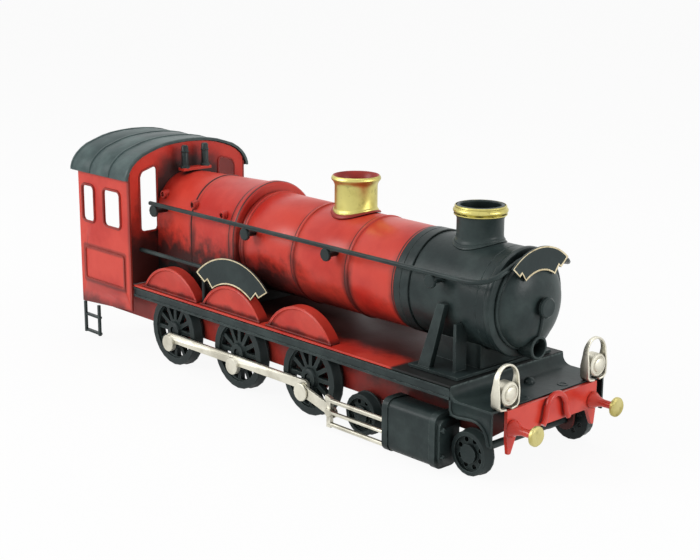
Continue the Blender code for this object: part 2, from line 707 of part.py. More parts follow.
def barrel(name):
    x0 = FIREBOX_FRONT_X + SEAT_GAP
    x1 = SMOKEBOX_X - SEAT_GAP

    def radius(x):
        return BARREL_REAR_R + (BARREL_FRONT_R - BARREL_REAR_R) * (x - x0) / (x1 - x0)

    shape = [(0.0, x0), (radius(x0), x0)]
    for x in BAND_X:
        a = x - BAND_WIDTH / 2.0
        b = x + BAND_WIDTH / 2.0
        shape += [(radius(a), a), (radius(a) + BAND_RAISE, a), (radius(b) + BAND_RAISE, b), (radius(b), b)]
    shape += [(radius(x1), x1), (0.0, x1)]
    return turned(name, "x", (0.0, 0.0, BOILER_Z), shape, RED, 72)


def arch_section(radius, base, count=24):
    side = [(radius, base)]
    return side + arc(0.0, FIREBOX_ARCH_Z, radius, 0.0, math.pi, count) + [(-radius, base)]


def firebox(name):
    x0 = CAB_FRONT_X + SEAT_GAP
    x1 = FIREBOX_FRONT_X
    base = DECK_Z + SEAT_GAP
    mid = x0 + 0.46 * (x1 - x0)

    def radius(x):
        return FIREBOX_REAR_R + (FIREBOX_FRONT_R - FIREBOX_REAR_R) * (x - x0) / (x1 - x0)

    lip = x1 - FIREBOX_LIP_LENGTH
    ramp = 0.0003
    stations = [(x0, 0.0), (mid - ramp, 0.0), (mid, BAND_RAISE), (mid + BAND_WIDTH, BAND_RAISE), (mid + BAND_WIDTH + ramp, 0.0),
                (lip - 0.0006, 0.0), (lip, FIREBOX_LIP), (x1 - 0.0014, FIREBOX_LIP), (x1 - 0.0004, FIREBOX_LIP - 0.0008),
                (x1, FIREBOX_LIP - 0.0018)]
    data = bmesh.new()
    rows = []
    for x, raised in stations:
        rows.append([data.verts.new((x, y, z)) for y, z in arch_section(radius(x) + raised, base)])
    for one, two in zip(rows, rows[1:]):
        for i in range(len(one)):
            j = (i + 1) % len(one)
            data.faces.new((one[i], one[j], two[j], two[i]))
    data.faces.new(rows[0])
    data.faces.new(rows[-1])
    body = solid(name, data, RED)
    for side in (-1.0, 1.0):
        for x in PLUG_X:
            face = math.sqrt(radius(x) ** 2 - PLUG_RISE ** 2)
            spot = (x, side * face, FIREBOX_ARCH_Z + PLUG_RISE)
            shape = [(0.0, -0.0031), (PLUG_R, -0.0031), (PLUG_R, 0.0027), (PLUG_R - 0.0008, 0.0027), (PLUG_R - 0.0008, 0.0017), (0.0, 0.0017)]
            fuse(body, turned("plug", "y", spot, [(r, side * t) for r, t in shape], None, 16))
    return body


def smokebox(name):
    x0 = SMOKEBOX_X
    x1 = SMOKEBOX_END_X
    r = SMOKEBOX_R
    ring = r + SMOKEBOX_RING
    shape = [(0.0, x0), (ring, x0), (ring, x0 + SMOKEBOX_BAND), (r, x0 + SMOKEBOX_BAND), (r, x1 - 0.0036), (ring, x1 - 0.0030),
             (ring, x1 - 0.0008), (ring - 0.0008, x1), (0.0, x1)]
    return turned(name, "x", (0.0, 0.0, BOILER_Z), shape, BLACK, 72)


def smokebox_door(name):
    x0 = SMOKEBOX_END_X + SEAT_GAP
    shape = [(0.0, x0), (DOOR_R, x0), (DOOR_R, x0 + 0.0012)]
    for i in range(1, 9):
        turn = i * math.pi / 16.0
        shape.append(((DOOR_R - 0.0008) * math.cos(turn), x0 + 0.0012 + (DOOR_DOME - 0.0012) * math.sin(turn)))
    shape[-1] = (0.0, x0 + DOOR_DOME)
    door = turned(name, "x", (0.0, 0.0, BOILER_Z), shape, BLACK, 64)
    tip = x0 + DOOR_DOME + DART_LENGTH
    dart = [(0.0, x0 + 0.004), (DART_R, x0 + 0.004), (DART_R, tip - 0.0012), (DART_R - 0.0014, tip), (0.0, tip)]
    fuse(door, turned("dart", "x", (0.0, 0.0, BOILER_Z), dart, None, 48))
    drop = BOILER_Z - STUB_BELOW
    stub = [(0.0, x0 + 0.0003), (STUB_R, x0 + 0.0003), (STUB_R, x0 + STUB_OUT - 0.0006), (STUB_R - 0.0006, x0 + STUB_OUT), (0.0, x0 + STUB_OUT)]
    fuse(door, turned("stub", "x", (0.0, 0.0, drop), stub, None, 28))
    strap = [(x0 + 0.0032, 0.0, drop), (x0 + 0.0078, 0.0, drop + 0.0070), (tip - 0.0016, 0.0, BOILER_Z - 0.0010)]
    fuse(door, wire("strap", strap, 0.0009, None, 8))
    return door


def saddle(name):
    x0 = SMOKEBOX_X + 0.0160
    x1 = SMOKEBOX_END_X - 0.0130
    base = DECK_Z + SEAT_GAP
    reach = SMOKEBOX_R + SEAT_GAP
    body = block(name, (x0, x1), (-0.0150, 0.0150), (base, BOILER_Z - 0.0140), BLACK)
    foot = DECK_HALF - 0.0065
    fuse(body, block("base", (x0 + 0.0020, x1 + 0.0020), (-foot, foot), (base, base + 0.0014), None))
    for side in (-1.0, 1.0):
        data = bmesh.new()
        top = BOILER_Z - 0.0010
        rows = []
        for x, y, z, wide in ((x0 + 0.0100, 0.0300, base + 0.0004, 0.0036), (x0 + 0.0170, 0.0262, top, 0.0022)):
            rows.append([data.verts.new((x + a * wide, side * (y + b * 0.0016), z)) for a, b in ((-1, -1), (1, -1), (1, 1), (-1, 1))])
        for i in range(4):
            j = (i + 1) % 4
            data.faces.new((rows[0][i], rows[0][j], rows[1][j], rows[1][i]))
        data.faces.new(rows[0])
        data.faces.new(rows[1])
        fuse(body, solid("pipe", data, None))
        span = side_span(side, 0.0200, 0.0272)
        fuse(body, block("rib", (x1 - 0.0060, x1 - 0.0044), span, (base + 0.0004, BOILER_Z - 0.0090), None))
    hollow = [(0.0, x0 - 0.02), (reach, x0 - 0.02), (reach, x1 + 0.02), (0.0, x1 + 0.02)]
    return cut(body, turned("hollow", "x", (0.0, 0.0, BOILER_Z), hollow, None, 72))


# Lets the foot of a turned piece follow the round of the boiler under it.
def drape(body, seat, reach, height):
    for vertex in body.data.vertices:
        share = min(max((seat + height - vertex.co.z) / height, 0.0), 1.0)
        vertex.co.z -= share * (reach - math.sqrt(reach ** 2 - vertex.co.y ** 2))
    return body


def chimney(name):
    seat = BOILER_Z + SMOKEBOX_R
    top = CHIMNEY_TOP
    r = CHIMNEY_R
    bore = r - 0.0014
    collar = top - 0.0062
    foot = r + CHIMNEY_FOOT
    shape = [(0.0, seat - 0.0050), (foot, seat - 0.0050), (foot, seat + 0.0005), (foot - 0.0008, seat + 0.0011), (r + 0.0005, seat + 0.0022),
             (r, seat + 0.0040), (r, collar), (r + 0.0004, top - 0.0010), (r, top), (bore, top), (bore, seat + 0.0040), (0.0, seat + 0.0040)]
    body = turned(name, "z", (CHIMNEY_X, 0.0, 0.0), shape, BLACK, 56)
    reach = SMOKEBOX_R + SEAT_GAP
    drape(body, seat, reach, FOOT_BLEND)
    hollow = [(0.0, CHIMNEY_X - 0.03), (reach, CHIMNEY_X - 0.03), (reach, CHIMNEY_X + 0.03), (0.0, CHIMNEY_X + 0.03)]
    return cut(body, turned("hollow", "x", (0.0, 0.0, BOILER_Z), hollow, None, 72))


def chimney_ring(name):
    low = CHIMNEY_TOP - 0.0050
    inner = CHIMNEY_R + 0.0004 + SEAT_GAP
    r = CHIMNEY_RING_R
    shape = [(inner, low), (r - 0.0006, low), (r, low + 0.0007), (r - 0.0004, low + 0.0014), (r - 0.0009, low + 0.0017),
             (r - 0.0004, low + 0.0020), (r, low + 0.0027), (r - 0.0006, low + 0.0034), (inner, low + 0.0034)]
    return turned(name, "z", (CHIMNEY_X, 0.0, 0.0), shape, BRASS, 56, True)


def dome(name):
    top = DOME_TOP
    r = DOME_R
    bore = r - 0.0012
    lip = DOME_RIM_R
    foot = r + DOME_FOOT
    share = (DOME_X - foot - FIREBOX_FRONT_X) / (SMOKEBOX_X - FIREBOX_FRONT_X)
    crown = BARREL_REAR_R + (BARREL_FRONT_R - BARREL_REAR_R) * share
    seat = BOILER_Z + crown
    shape = [(0.0, seat - 0.0050), (foot, seat - 0.0050), (foot, seat + 0.0008), (foot - 0.0008, seat + 0.0015), (r + 0.0005, seat + 0.0020),
             (r, seat + 0.0032), (r, top - 0.0050), (r + 0.0006, top - 0.0034), (lip - 0.0004, top - 0.0022), (lip, top - 0.0012),
             (lip - 0.0006, top - 0.0002), (lip - 0.0012, top), (bore + 0.0010, top - 0.0010), (bore, top - 0.0030),
             (bore, seat + 0.0060), (0.0, seat + 0.0060)]
    body = turned(name, "z", (DOME_X, 0.0, 0.0), shape, BRASS, 56)
    reach = crown + SEAT_GAP
    drape(body, seat, reach, FOOT_BLEND)
    hollow = [(0.0, DOME_X - 0.03), (reach, DOME_X - 0.03), (reach, DOME_X + 0.03), (0.0, DOME_X + 0.03)]
    return cut(body, turned("hollow", "x", (0.0, 0.0, BOILER_Z), hollow, None, 72))


def whistle_posts(name):
    share = (POST_X - CAB_FRONT_X) / (FIREBOX_FRONT_X - CAB_FRONT_X)
    crown = FIREBOX_ARCH_Z + FIREBOX_REAR_R + (FIREBOX_FRONT_R - FIREBOX_REAR_R) * (share + 0.05)
    base = crown + SEAT_GAP
    body = block(name, (POST_X - 0.0026, POST_X + 0.0026), (-POST_Y - 0.0026, POST_Y + 0.0026), (base, base + 0.0016), BLACK)
    for y in (-POST_Y, POST_Y):
        r = POST_R
        shape = [(0.0, base + 0.0008), (r, base + 0.0008), (r, POST_TOP - 0.0006), (r - 0.0006, POST_TOP), (0.0, POST_TOP)]
        fuse(body, turned("post", "z", (POST_X, y, 0.0), shape, None, 20))
    return body


def roof_arc(radius, reach, count=14):
    turn = math.asin(reach / radius)
    return arc(0.0, ROOF_CENTRE_Z, radius, math.pi / 2.0 - turn, math.pi / 2.0 + turn, count)


def cab_front(name):
    half = CAB_INNER - SEAT_GAP
    base = DECK_Z + SEAT_GAP
    top = roof_arc(ROOF_R - SHEET - 0.0005, half)
    shape = [(half, base)] + top + [(-half, base)]
    panes = []
    for side in (-1.0, 1.0):
        sill = WINDOW_BOTTOM + 0.0014
        near, far = 0.0250, half - 0.0054
        head = ROOF_CENTRE_Z + math.sqrt(ROOF_R ** 2 - far ** 2) - PANE_HEAD
        pane = [(near, sill), (far, sill), (far, head), (far - 0.0008, head + 0.0022), (near + 0.0008, head + 0.0052), (near, head + 0.0044)]
        panes.append([(side * u, v) for u, v in pane])
    return slab(name, "yz", shape, CAB_FRONT_X - SHEET, CAB_FRONT_X, RED, panes)


def round_window(span):
    return round_box(span[0], span[1], WINDOW_BOTTOM, WINDOW_TOP, 0.0026)


def cab_side(name, side):
    shape = [(CAB_REAR_X, CAB_BOTTOM), (CAB_FRONT_X, CAB_BOTTOM + CAB_BOTTOM_RISE), (CAB_FRONT_X, CAB_EAVES), (CAB_REAR_X, CAB_EAVES)]
    span = side_span(side, CAB_INNER, CAB_HALF)
    body = slab(name, "xz", shape, span[0], span[1], RED, (round_window(WINDOW_1), round_window(WINDOW_2)))
    wide = 0.0011
    outline = round_box(PANEL_X[0], PANEL_X[1], PANEL_Z[0], PANEL_Z[1], 0.0024)
    hole = round_box(PANEL_X[0] + wide, PANEL_X[1] - wide, PANEL_Z[0] + wide, PANEL_Z[1] - wide, 0.0013)
    bead = side_span(side, CAB_HALF - 0.0004, CAB_HALF + 0.0005)
    return fuse(body, slab("bead", "xz", outline, bead[0], bead[1], None, (hole,)))


def cab_roof(name):
    rear = CAB_REAR_X - ROOF_OVERHANG
    front = CAB_FRONT_X + ROOF_FRONT_OVERHANG
    length = front - rear
    rib = 0.0012
    places = [0.0, 0.26, 0.52, 0.78]
    stations = []
    for share in places:
        x = rear + share * length
        if share > 0.0:
            stations += [(x - 0.0003, 0.0)]
        stations += [(x, ROOF_RIB), (x + rib, ROOF_RIB), (x + rib + 0.0003, 0.0)]
    stations += [(front - rib - 0.0003, 0.0), (front - rib, ROOF_RIB), (front, ROOF_RIB)]
    data = bmesh.new()
    rows = []
    for x, raised in stations:
        outer = roof_arc(ROOF_R + raised, CAB_HALF - 0.0004)
        eave = [(CAB_HALF + 0.0012 + raised, CAB_EAVES + 0.0008), (CAB_HALF + 0.0015 + raised, CAB_EAVES - 0.0016)]
        under = [(CAB_HALF + 0.0004, CAB_EAVES - 0.0016), (CAB_HALF + 0.0003, CAB_EAVES + 0.0004)]
        inner = roof_arc(ROOF_R - SHEET, CAB_HALF - 0.0004)
        loop = list(reversed(eave)) + outer + [(-u, v) for u, v in eave]
        loop += [(-u, v) for u, v in under] + list(reversed(inner)) + list(reversed(under))
        rows.append([data.verts.new((x, y, z)) for y, z in loop])
    for one, two in zip(rows, rows[1:]):
        for i in range(len(one)):
            j = (i + 1) % len(one)
            data.faces.new((one[i], one[j], two[j], two[i]))
    half = len(rows[0])
    for row in (rows[0], rows[-1]):
        bmesh.ops.triangle_fill(data, use_beauty=True, use_dissolve=False,
                                edges=[data.edges.get((row[i], row[(i + 1) % half])) for i in range(half)])
    return solid(name, data, BLACK)


def cab_steps(name, side):
    x0 = CAB_REAR_X + 0.0004
    x1 = x0 + STEP_LENGTH
    bar = 0.0016
    top = CAB_BOTTOM - SEAT_GAP
    outer = side_span(side, CAB_HALF - 0.0014, CAB_HALF)
    tread = side_span(side, CAB_HALF - STEP_DEPTH, CAB_HALF - 0.0002)
    body = block(name, (x0, x0 + bar), outer, (STEP_BOTTOM, top), BLACK)
    fuse(body, block("tread", (x0 + 0.0004, x1 - 0.0004), tread, (STEP_BOTTOM + 0.0004, STEP_BOTTOM + 0.0016), None))
    fuse(body, block("bar", (x1 - bar, x1), outer, (STEP_BOTTOM, top), None))
    fuse(body, block("tread", (x0 + 0.0004, x1 - 0.0004), tread, (STEP_TREAD_Z - 0.0006, STEP_TREAD_Z + 0.0006), None))
    return body


def segment(x, radius, base, count=16):
    rise = base - SPLASHER_CENTRE_Z
    turn = math.asin(rise / radius)
    return arc(x, SPLASHER_CENTRE_Z, radius, turn, math.pi - turn, count)


def splasher(name, side, x, inner):
    base = DECK_Z + SEAT_GAP
    outer = SPLASHER_FACE_Y
    span = side_span(side, inner, outer)
    body = slab(name, "xz", segment(x, SPLASHER_R, base), span[0], span[1], RED)
    bead = side_span(side, outer - 0.0004, outer + 0.0006)
    ring = segment(x, SPLASHER_R, base) + list(reversed(segment(x, SPLASHER_R - 0.0013, base)))
    fuse(body, slab("bead", "xz", ring, bead[0], bead[1], None))
    space = side_span(side, inner - 0.002, outer - 0.0008)
    return cut(body, slab("space", "xz", segment(x, SPLASHER_R - 0.0008, base - 0.004), space[0], space[1], None))


def plate_outline(radius, depth, centre, turn_in, turn_out):
    up = math.pi / 2.0
    shape = arc(centre[0], centre[1], radius, up - turn_in, up + turn_in, 20)
    notch = radius + depth * 0.42
    mid = (turn_in + turn_out) / 2.0
    shape += arc(centre[0], centre[1], notch, up + mid - 0.06, up + mid + 0.03, 1)
    shape += arc(centre[0], centre[1], radius + depth, up + turn_out, up - turn_out, 26)
    shape += arc(centre[0], centre[1], notch, up - mid - 0.03, up - mid + 0.06, 1)
    return shape


def side_plate(name, side):
    centre = (SPLASHER_X[1], SPLASHER_CENTRE_Z)
    shape = plate_outline(PLATE_R, PLATE_DEPTH, centre, 0.604, 0.778)
    span = side_span(side, SPLASHER_FACE_Y - 0.0010, SPLASHER_FACE_Y)
    return slab(name, "xz", shape, span[0], span[1], BLACK)


def front_plate(name):
    x = SMOKEBOX_END_X + SEAT_GAP + 0.0066
    shape = plate_outline(0.0172, 0.0110, (0.0, BOILER_Z - 0.0010), 0.62, 0.745)
    return slab(name, "yz", shape, x, x + 0.0010, BLACK)


# Half-width of the firebox, barrel or smokebox at a place along it and a height.
def body_half_width(x, z):
    axis_z = BOILER_Z
    radius = SMOKEBOX_R
    if x < FIREBOX_FRONT_X:
        axis_z = FIREBOX_ARCH_Z
        share = (x - CAB_FRONT_X) / (FIREBOX_FRONT_X - CAB_FRONT_X)
        radius = FIREBOX_REAR_R + (FIREBOX_FRONT_R - FIREBOX_REAR_R) * share
    elif x < SMOKEBOX_X:
        share = (x - FIREBOX_FRONT_X) / (SMOKEBOX_X - FIREBOX_FRONT_X)
        radius = BARREL_REAR_R + (BARREL_FRONT_R - BARREL_REAR_R) * share
    return math.sqrt(radius ** 2 - (z - axis_z) ** 2)


def handrail(name):
    rear = STANCHION_X[0] - 0.0040
    bend_x = SMOKEBOX_END_X - 0.0080
    out_x = SMOKEBOX_END_X + 0.0042
    half = [(rear, RAIL_Y, RAIL_Z), (bend_x, RAIL_Y, RAIL_Z), (bend_x + 0.0050, RAIL_Y - 0.0008, RAIL_Z + 0.0003),
            (bend_x + 0.0090, RAIL_Y - 0.0032, RAIL_Z + 0.0012), (out_x - 0.0008, RAIL_Y - 0.0070, RAIL_Z + 0.0030),
            (out_x, RAIL_Y - 0.0115, RAIL_Z + 0.0050), (out_x, RAIL_Y - 0.0190, RAIL_Z + 0.0078),
            (out_x, RAIL_Y - 0.0250, RAIL_Z + 0.0092)]
    path = [(x, -y, z) for x, y, z in half] + [(out_x, 0.0, RAIL_Z + 0.0097)] + [(x, y, z) for x, y, z in reversed(half)]
    rail = wire(name, path, RAIL_R, BLACK, 8)
    disc_z = RAIL_Z - STANCHION_R - 0.00043
    for side in (-1.0, 1.0):
        for x in STANCHION_X:
            near = body_half_width(x, disc_z - 0.0017) + 0.0002
            shape = [(0.0, near), (0.0017, near), (0.0017, RAIL_Y - 0.0004), (STANCHION_R, RAIL_Y - 0.0004),
                     (STANCHION_R, RAIL_Y + 0.0010), (STANCHION_R - 0.0004, RAIL_Y + 0.0014), (0.0, RAIL_Y + 0.0014)]
            fuse(rail, turned("stanchion", "y", (x, 0.0, disc_z), [(r, side * t) for r, t in shape], None, 24))
    return rail


def grab_rail(name, side):
    y = side * GRAB_Y
    x1 = GRAB_END_X
    base = DECK_Z + SEAT_GAP
    path = [(CAB_FRONT_X + SEAT_GAP, y, GRAB_Z), (x1 - 0.0030, y, GRAB_Z), (x1 - 0.0008, y, GRAB_Z - 0.0008),
            (x1, y, GRAB_Z - 0.0030), (x1, y, base)]
    return wire(name, path, RAIL_R, BLACK, 10)


clear_scene()
RED = paint("red_paint", (0.55, 0.06, 0.04), 0.0, 0.38)
BLACK = paint("black_paint", (0.035, 0.042, 0.042), 0.0, 0.42)
BRASS = paint("brass", (0.62, 0.46, 0.14), 1.0, 0.32)
STEEL = paint("bright_steel", (0.68, 0.66, 0.60), 1.0, 0.33)
NICKEL = paint("nickel", (0.66, 0.64, 0.58), 1.0, 0.30)

SIDES = (("right", -1.0), ("left", 1.0))
DRIVERS = (("rear", -1.0), ("middle", 0.0), ("front", 1.0))

deck("deck")
front_platform("front_platform")
buffer_beam("buffer_beam")
coupling_hoop("coupling_hoop")
firebox("firebox")
barrel("boiler_barrel")
smokebox("smokebox")
smokebox_door("smokebox_door")
saddle("smokebox_saddle")
chimney("chimney")
chimney_ring("chimney_ring")
dome("dome")
whistle_posts("whistle_posts")
cab_front("cab_front")
cab_roof("cab_roof")
front_plate("front_plate")
handrail("handrail")
for word, side in SIDES:
    valance("valance_" + word, side)
    frame_plate("frame_plate_" + word, side)
    buffer_shank("buffer_shank_" + word, side)
    buffer_head("buffer_head_" + word, side)
    lamp("lamp_" + word, side)
    cab_side("cab_side_" + word, side)
    cab_steps("cab_steps_" + word, side)
    side_plate("side_plate_" + word, side)
    grab_rail("grab_rail_" + word, side)
    cylinder("cylinder_" + word, side)
    coupling_rod("coupling_rod_" + word, side)
    connecting_rod("connecting_rod_" + word, side)
    crosshead("crosshead_" + word, side)
    for (place_word, step), x in zip(DRIVERS, SPLASHER_X):
        splasher("splasher_" + place_word + "_" + word, side, x, SPLASHER_INNER_Y)
        driving_wheel("driving_wheel_" + place_word + "_" + word, side, DRIVER_X + step * DRIVER_SPACING)
for place_word, step in DRIVERS:
    driving_axle("driving_axle_" + place_word, DRIVER_X + step * DRIVER_SPACING)
for place_word, x in zip(("rear", "front"), BOGIE_X):
    bogie_wheelset("bogie_wheels_" + place_word, x)
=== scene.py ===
import json
import math

import bpy
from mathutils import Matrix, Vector


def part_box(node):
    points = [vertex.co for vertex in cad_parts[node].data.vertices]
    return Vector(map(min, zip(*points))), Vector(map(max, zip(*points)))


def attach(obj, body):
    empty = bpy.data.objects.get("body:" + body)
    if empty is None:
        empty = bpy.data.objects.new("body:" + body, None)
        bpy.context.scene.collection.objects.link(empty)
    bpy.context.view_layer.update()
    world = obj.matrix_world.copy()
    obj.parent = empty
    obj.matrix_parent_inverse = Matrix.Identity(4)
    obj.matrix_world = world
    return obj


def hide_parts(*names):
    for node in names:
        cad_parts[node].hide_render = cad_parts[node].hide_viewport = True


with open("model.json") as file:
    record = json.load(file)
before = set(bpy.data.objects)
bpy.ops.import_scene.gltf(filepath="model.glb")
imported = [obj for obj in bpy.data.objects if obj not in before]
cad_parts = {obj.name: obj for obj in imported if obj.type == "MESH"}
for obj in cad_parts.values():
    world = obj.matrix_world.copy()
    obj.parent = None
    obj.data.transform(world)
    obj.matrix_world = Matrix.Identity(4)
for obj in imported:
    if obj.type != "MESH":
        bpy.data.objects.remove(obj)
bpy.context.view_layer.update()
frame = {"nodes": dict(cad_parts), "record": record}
nodes = frame["nodes"]
bodies = frame["record"]["behaviour"]["bodies"]
bodyOf = {name: body for body, names in bodies.items() for name in names}
print("frame loaded:", len(nodes), "solids")


# a shader socket that can be added, scaled and compared in plain expressions
class Wire:
    def __init__(self, finish, socket):
        self.finish = finish
        self.socket = socket

    def combine(self, operation, first, second):
        return self.finish.node("ShaderNodeMath", {"operation": operation}, {0: first, 1: second})

    def __add__(self, other):
        return self.combine("ADD", self, other)

    def __radd__(self, other):
        return self.combine("ADD", other, self)

    def __sub__(self, other):
        return self.combine("SUBTRACT", self, other)

    def __rsub__(self, other):
        return self.combine("SUBTRACT", other, self)

    def __mul__(self, other):
        return self.combine("MULTIPLY", self, other)

    def __rmul__(self, other):
        return self.combine("MULTIPLY", other, self)

    def __pow__(self, other):
        return self.combine("POWER", self, other)

    def __abs__(self):
        return self.combine("ABSOLUTE", self, 0.0)

    def atLeast(self, other):
        return self.combine("MAXIMUM", self, other)

    def atMost(self, other):
        return self.combine("MINIMUM", self, other)


# the colour mix has sockets of one name for several kinds of data, so these go by number
mixShare, mixFirst, mixSecond, mixResult = 0, 6, 7, 2
bevelSamples = 4
recessSamples = 8
edgeRounding = 0.00025


# one material, its shader and the nodes that feed it
class Finish:
    def __init__(self, name, **fixed):
        self.material = bpy.data.materials.new(name)
        self.material.use_nodes = True
        self.tree = self.material.node_tree
        self.tree.nodes.clear()
        self.shader = self.tree.nodes.new("ShaderNodeBsdfPrincipled")
        self.out = self.tree.nodes.new("ShaderNodeOutputMaterial")
        self.tree.links.new(self.shader.outputs[0], self.out.inputs[0])
        for key, value in fixed.items():
            self.shader.inputs[key.replace("_", " ")].default_value = value

    def node(self, kind, settings=None, inputs=None, output=0):
        made = self.tree.nodes.new(kind)
        for key, value in (settings or {}).items():
            setattr(made, key, value)
        for key, value in (inputs or {}).items():
            self.feed(made.inputs[key], value)
        return Wire(self, made.outputs[output])

    def feed(self, socket, value):
        if isinstance(value, Wire):
            self.tree.links.new(value.socket, socket)
        else:
            socket.default_value = value

    def set(self, name, value):
        self.feed(self.shader.inputs[name], value)

    def place(self):
        return self.node("ShaderNodeTexCoord", output="Object")

    def axes(self):
        split = self.node("ShaderNodeSeparateXYZ", {}, {0: self.place()})
        return [Wire(self, socket) for socket in split.socket.node.outputs]

    def noise(self, scale, detail=3.0, rough=0.55, stretch=None):
        spot = self.place()
        if stretch:
            spot = self.node("ShaderNodeVectorMath", {"operation": "MULTIPLY"}, {0: spot, 1: stretch})
        wanted = {"Vector": spot, "Scale": scale, "Detail": detail, "Roughness": rough}
        return self.node("ShaderNodeTexNoise", {}, wanted)

    def ease(self, value, low, high):
        wanted = {"Value": value, "From Min": low, "From Max": high}
        return self.node("ShaderNodeMapRange", {"interpolation_type": "SMOOTHSTEP"}, wanted)

    # soft patches: a noise eased over a range
    def patches(self, noise, span):
        return self.ease(self.noise(*noise), *span)

    # a soft border whose place wanders with the drift
    def border(self, value, drift, wander, low, high):
        return self.ease(value + drift * wander, low, high)

    def blend(self, share, first, second):
        wanted = {mixShare: share, mixFirst: first, mixSecond: second}
        return self.node("ShaderNodeMix", {"data_type": "RGBA"}, wanted, mixResult)

    def edges(self, width):
        rounded = self.node("ShaderNodeBevel", {"samples": bevelSamples}, {"Radius": width})
        plain = self.node("ShaderNodeNewGeometry", output="Normal")
        pair = {0: rounded, 1: plain}
        return 1.0 - self.node("ShaderNodeVectorMath", {"operation": "DOT_PRODUCT"}, pair, "Value")

    # how closed in a point is by nearby parts: the paints darken by it as painted shade, the metals as grime
    # in their hollows
    def recess(self, reach):
        samples = {"samples": recessSamples}
        return 1.0 - self.node("ShaderNodeAmbientOcclusion", samples, {"Distance": reach}, "AO")

    def surface(self, height, depth):
        soft = self.node("ShaderNodeBevel", {"samples": bevelSamples}, {"Radius": edgeRounding})
        wanted = {"Strength": 1.0, "Distance": depth, "Height": height, "Normal": soft}
        self.set("Normal", self.node("ShaderNodeBump", {}, wanted))


def solid(red, green, blue):
    return (red, green, blue, 1.0)


def lifted(colour, lift):
    return solid(*(value * lift for value in colour[:3]))


def between(first, second, share):
    return solid(*(a + (b - a) * share for a, b in zip(first[:3], second[:3])))


# in the looks below a noise is (scale, detail, roughness) and a range is (where it starts, where it is full)
# patches are a noise and its range, and a border is (how far it wanders, where it starts, where it is full)

# red paint, with painted shade in its recesses, and worn to a paler red at its edges
redLook = dict(
    light=solid(0.66, 0.056, 0.034), deep=solid(0.52, 0.022, 0.013),
    shade=solid(0.011, 0.0125, 0.012), chip=solid(0.72, 0.20, 0.14),
    cloud=((30.0, 4.0), (0.38, 0.68)), drift=(105.0, 4.0, 0.62), recess=(0.45, 0.22, 0.85),
    edgeWidth=0.0006, edgeRange=(0.04, 0.26), wear=((240.0, 4.0), (0.38, 0.60)), wearShare=0.6,
    gloss=(80.0, 2.0), glossRough=0.14, shadeRough=0.10, shadeCoat=0.8,
    grain=(380.0, 3.0), grainDepth=0.00006,
)


# shadeOf adds the dark that a piece has beyond its recesses: painted shade with airbrushed black, black paint
# and dark joints
def redFinish(name, shadeOf=None, reach=0.006, strength=0.95, rough=0.30, coat=0.14):
    look = redLook
    paint = Finish(name, Specular_IOR_Level=0.25, Coat_Roughness=0.25)
    cloud = paint.patches(*look["cloud"])
    drift = paint.noise(*look["drift"]) - 0.5
    colour = paint.blend(cloud, look["light"], look["deep"])
    # painted shade: the red goes towards near black where neighbouring parts close it in
    shade = paint.border(paint.recess(reach), drift, *look["recess"]) * strength
    if shadeOf:
        shade = shade.atLeast(shadeOf(paint, drift))
    shade = shade.atMost(1.0)
    colour = paint.blend(shade, colour, look["shade"])
    edge = paint.ease(paint.edges(look["edgeWidth"]), *look["edgeRange"])
    worn = edge * paint.patches(*look["wear"])
    colour = paint.blend(worn * look["wearShare"] * (1.0 - shade), colour, look["chip"])
    paint.set("Base Color", colour)
    gloss = paint.noise(*look["gloss"]) * look["glossRough"]
    paint.set("Roughness", rough + gloss + shade * look["shadeRough"])
    paint.set("Coat Weight", coat * (1.0 - shade * look["shadeCoat"]))
    paint.surface(paint.noise(*look["grain"]), look["grainDepth"])
    return paint.material


# black paint, dusty in clouds, with painted shade in its recesses and rubbed grey at its edges
blackLook = dict(
    base=solid(0.0180, 0.0280, 0.0282), dusty=solid(0.040, 0.058, 0.056),
    rub=solid(0.105, 0.138, 0.132), recessShade=solid(0.0045, 0.0070, 0.0070),
    cloud=(48.0, 5.0, 0.6), cloudRange=(0.38, 0.72), cloudRough=0.20, recessShadeRange=(0.20, 0.85), recessShadeShare=0.85,
    edgeWidth=0.0007, edgeRange=(0.035, 0.26), wear=((280.0, 4.0), (0.34, 0.60)), wearShare=0.8,
    gloss=(500.0, 2.0), glossRough=0.06, grain=(480.0, 3.0), grainDepth=0.00007,
)


def blackFinish(name, rough=0.34, dust=1.0, lift=1.0, reach=0.005):
    look = blackLook
    paint = Finish(name, Specular_IOR_Level=0.20)
    cloud = paint.noise(*look["cloud"])
    dusty = paint.ease(cloud, *look["cloudRange"]) * dust
    colour = paint.blend(dusty, lifted(look["base"], lift), lifted(look["dusty"], lift))
    # painted shade: near black where neighbouring parts close the piece in
    recessShade = paint.ease(paint.recess(reach), *look["recessShadeRange"])
    colour = paint.blend(recessShade * look["recessShadeShare"], colour, look["recessShade"])
    edge = paint.ease(paint.edges(look["edgeWidth"]), *look["edgeRange"])
    worn = edge * paint.patches(*look["wear"])
    paint.set("Base Color", paint.blend(worn * look["wearShare"], colour, look["rub"]))
    gloss = paint.noise(*look["gloss"]) * look["glossRough"]
    paint.set("Roughness", rough + (cloud - 0.5) * look["cloudRough"] + gloss)
    paint.surface(paint.noise(*look["grain"]), look["grainDepth"])
    return paint.material


# brass, brushed round and darkened in spots
brassLook = dict(
    bright=solid(0.63, 0.565, 0.19), pale=solid(0.62, 0.56, 0.26),
    aged=solid(0.40, 0.335, 0.085), grime=solid(0.040, 0.028, 0.010),
    cloud=((70.0, 4.0), (0.38, 0.75)), reach=0.003, recessRange=(0.18, 0.7),
    dirt=((320.0, 5.0), (0.34, 0.62)), spots=((190.0, 5.0, 0.68), (0.56, 0.74)), spotShare=0.55,
    grimeShare=0.9, grimeRough=0.2, gloss=(160.0, 3.0), glossRough=0.16,
    brush=(700.0, 2.0, 0.5), brushStretch=(4.0, 4.0, 0.15), brushDepth=0.00006,
)


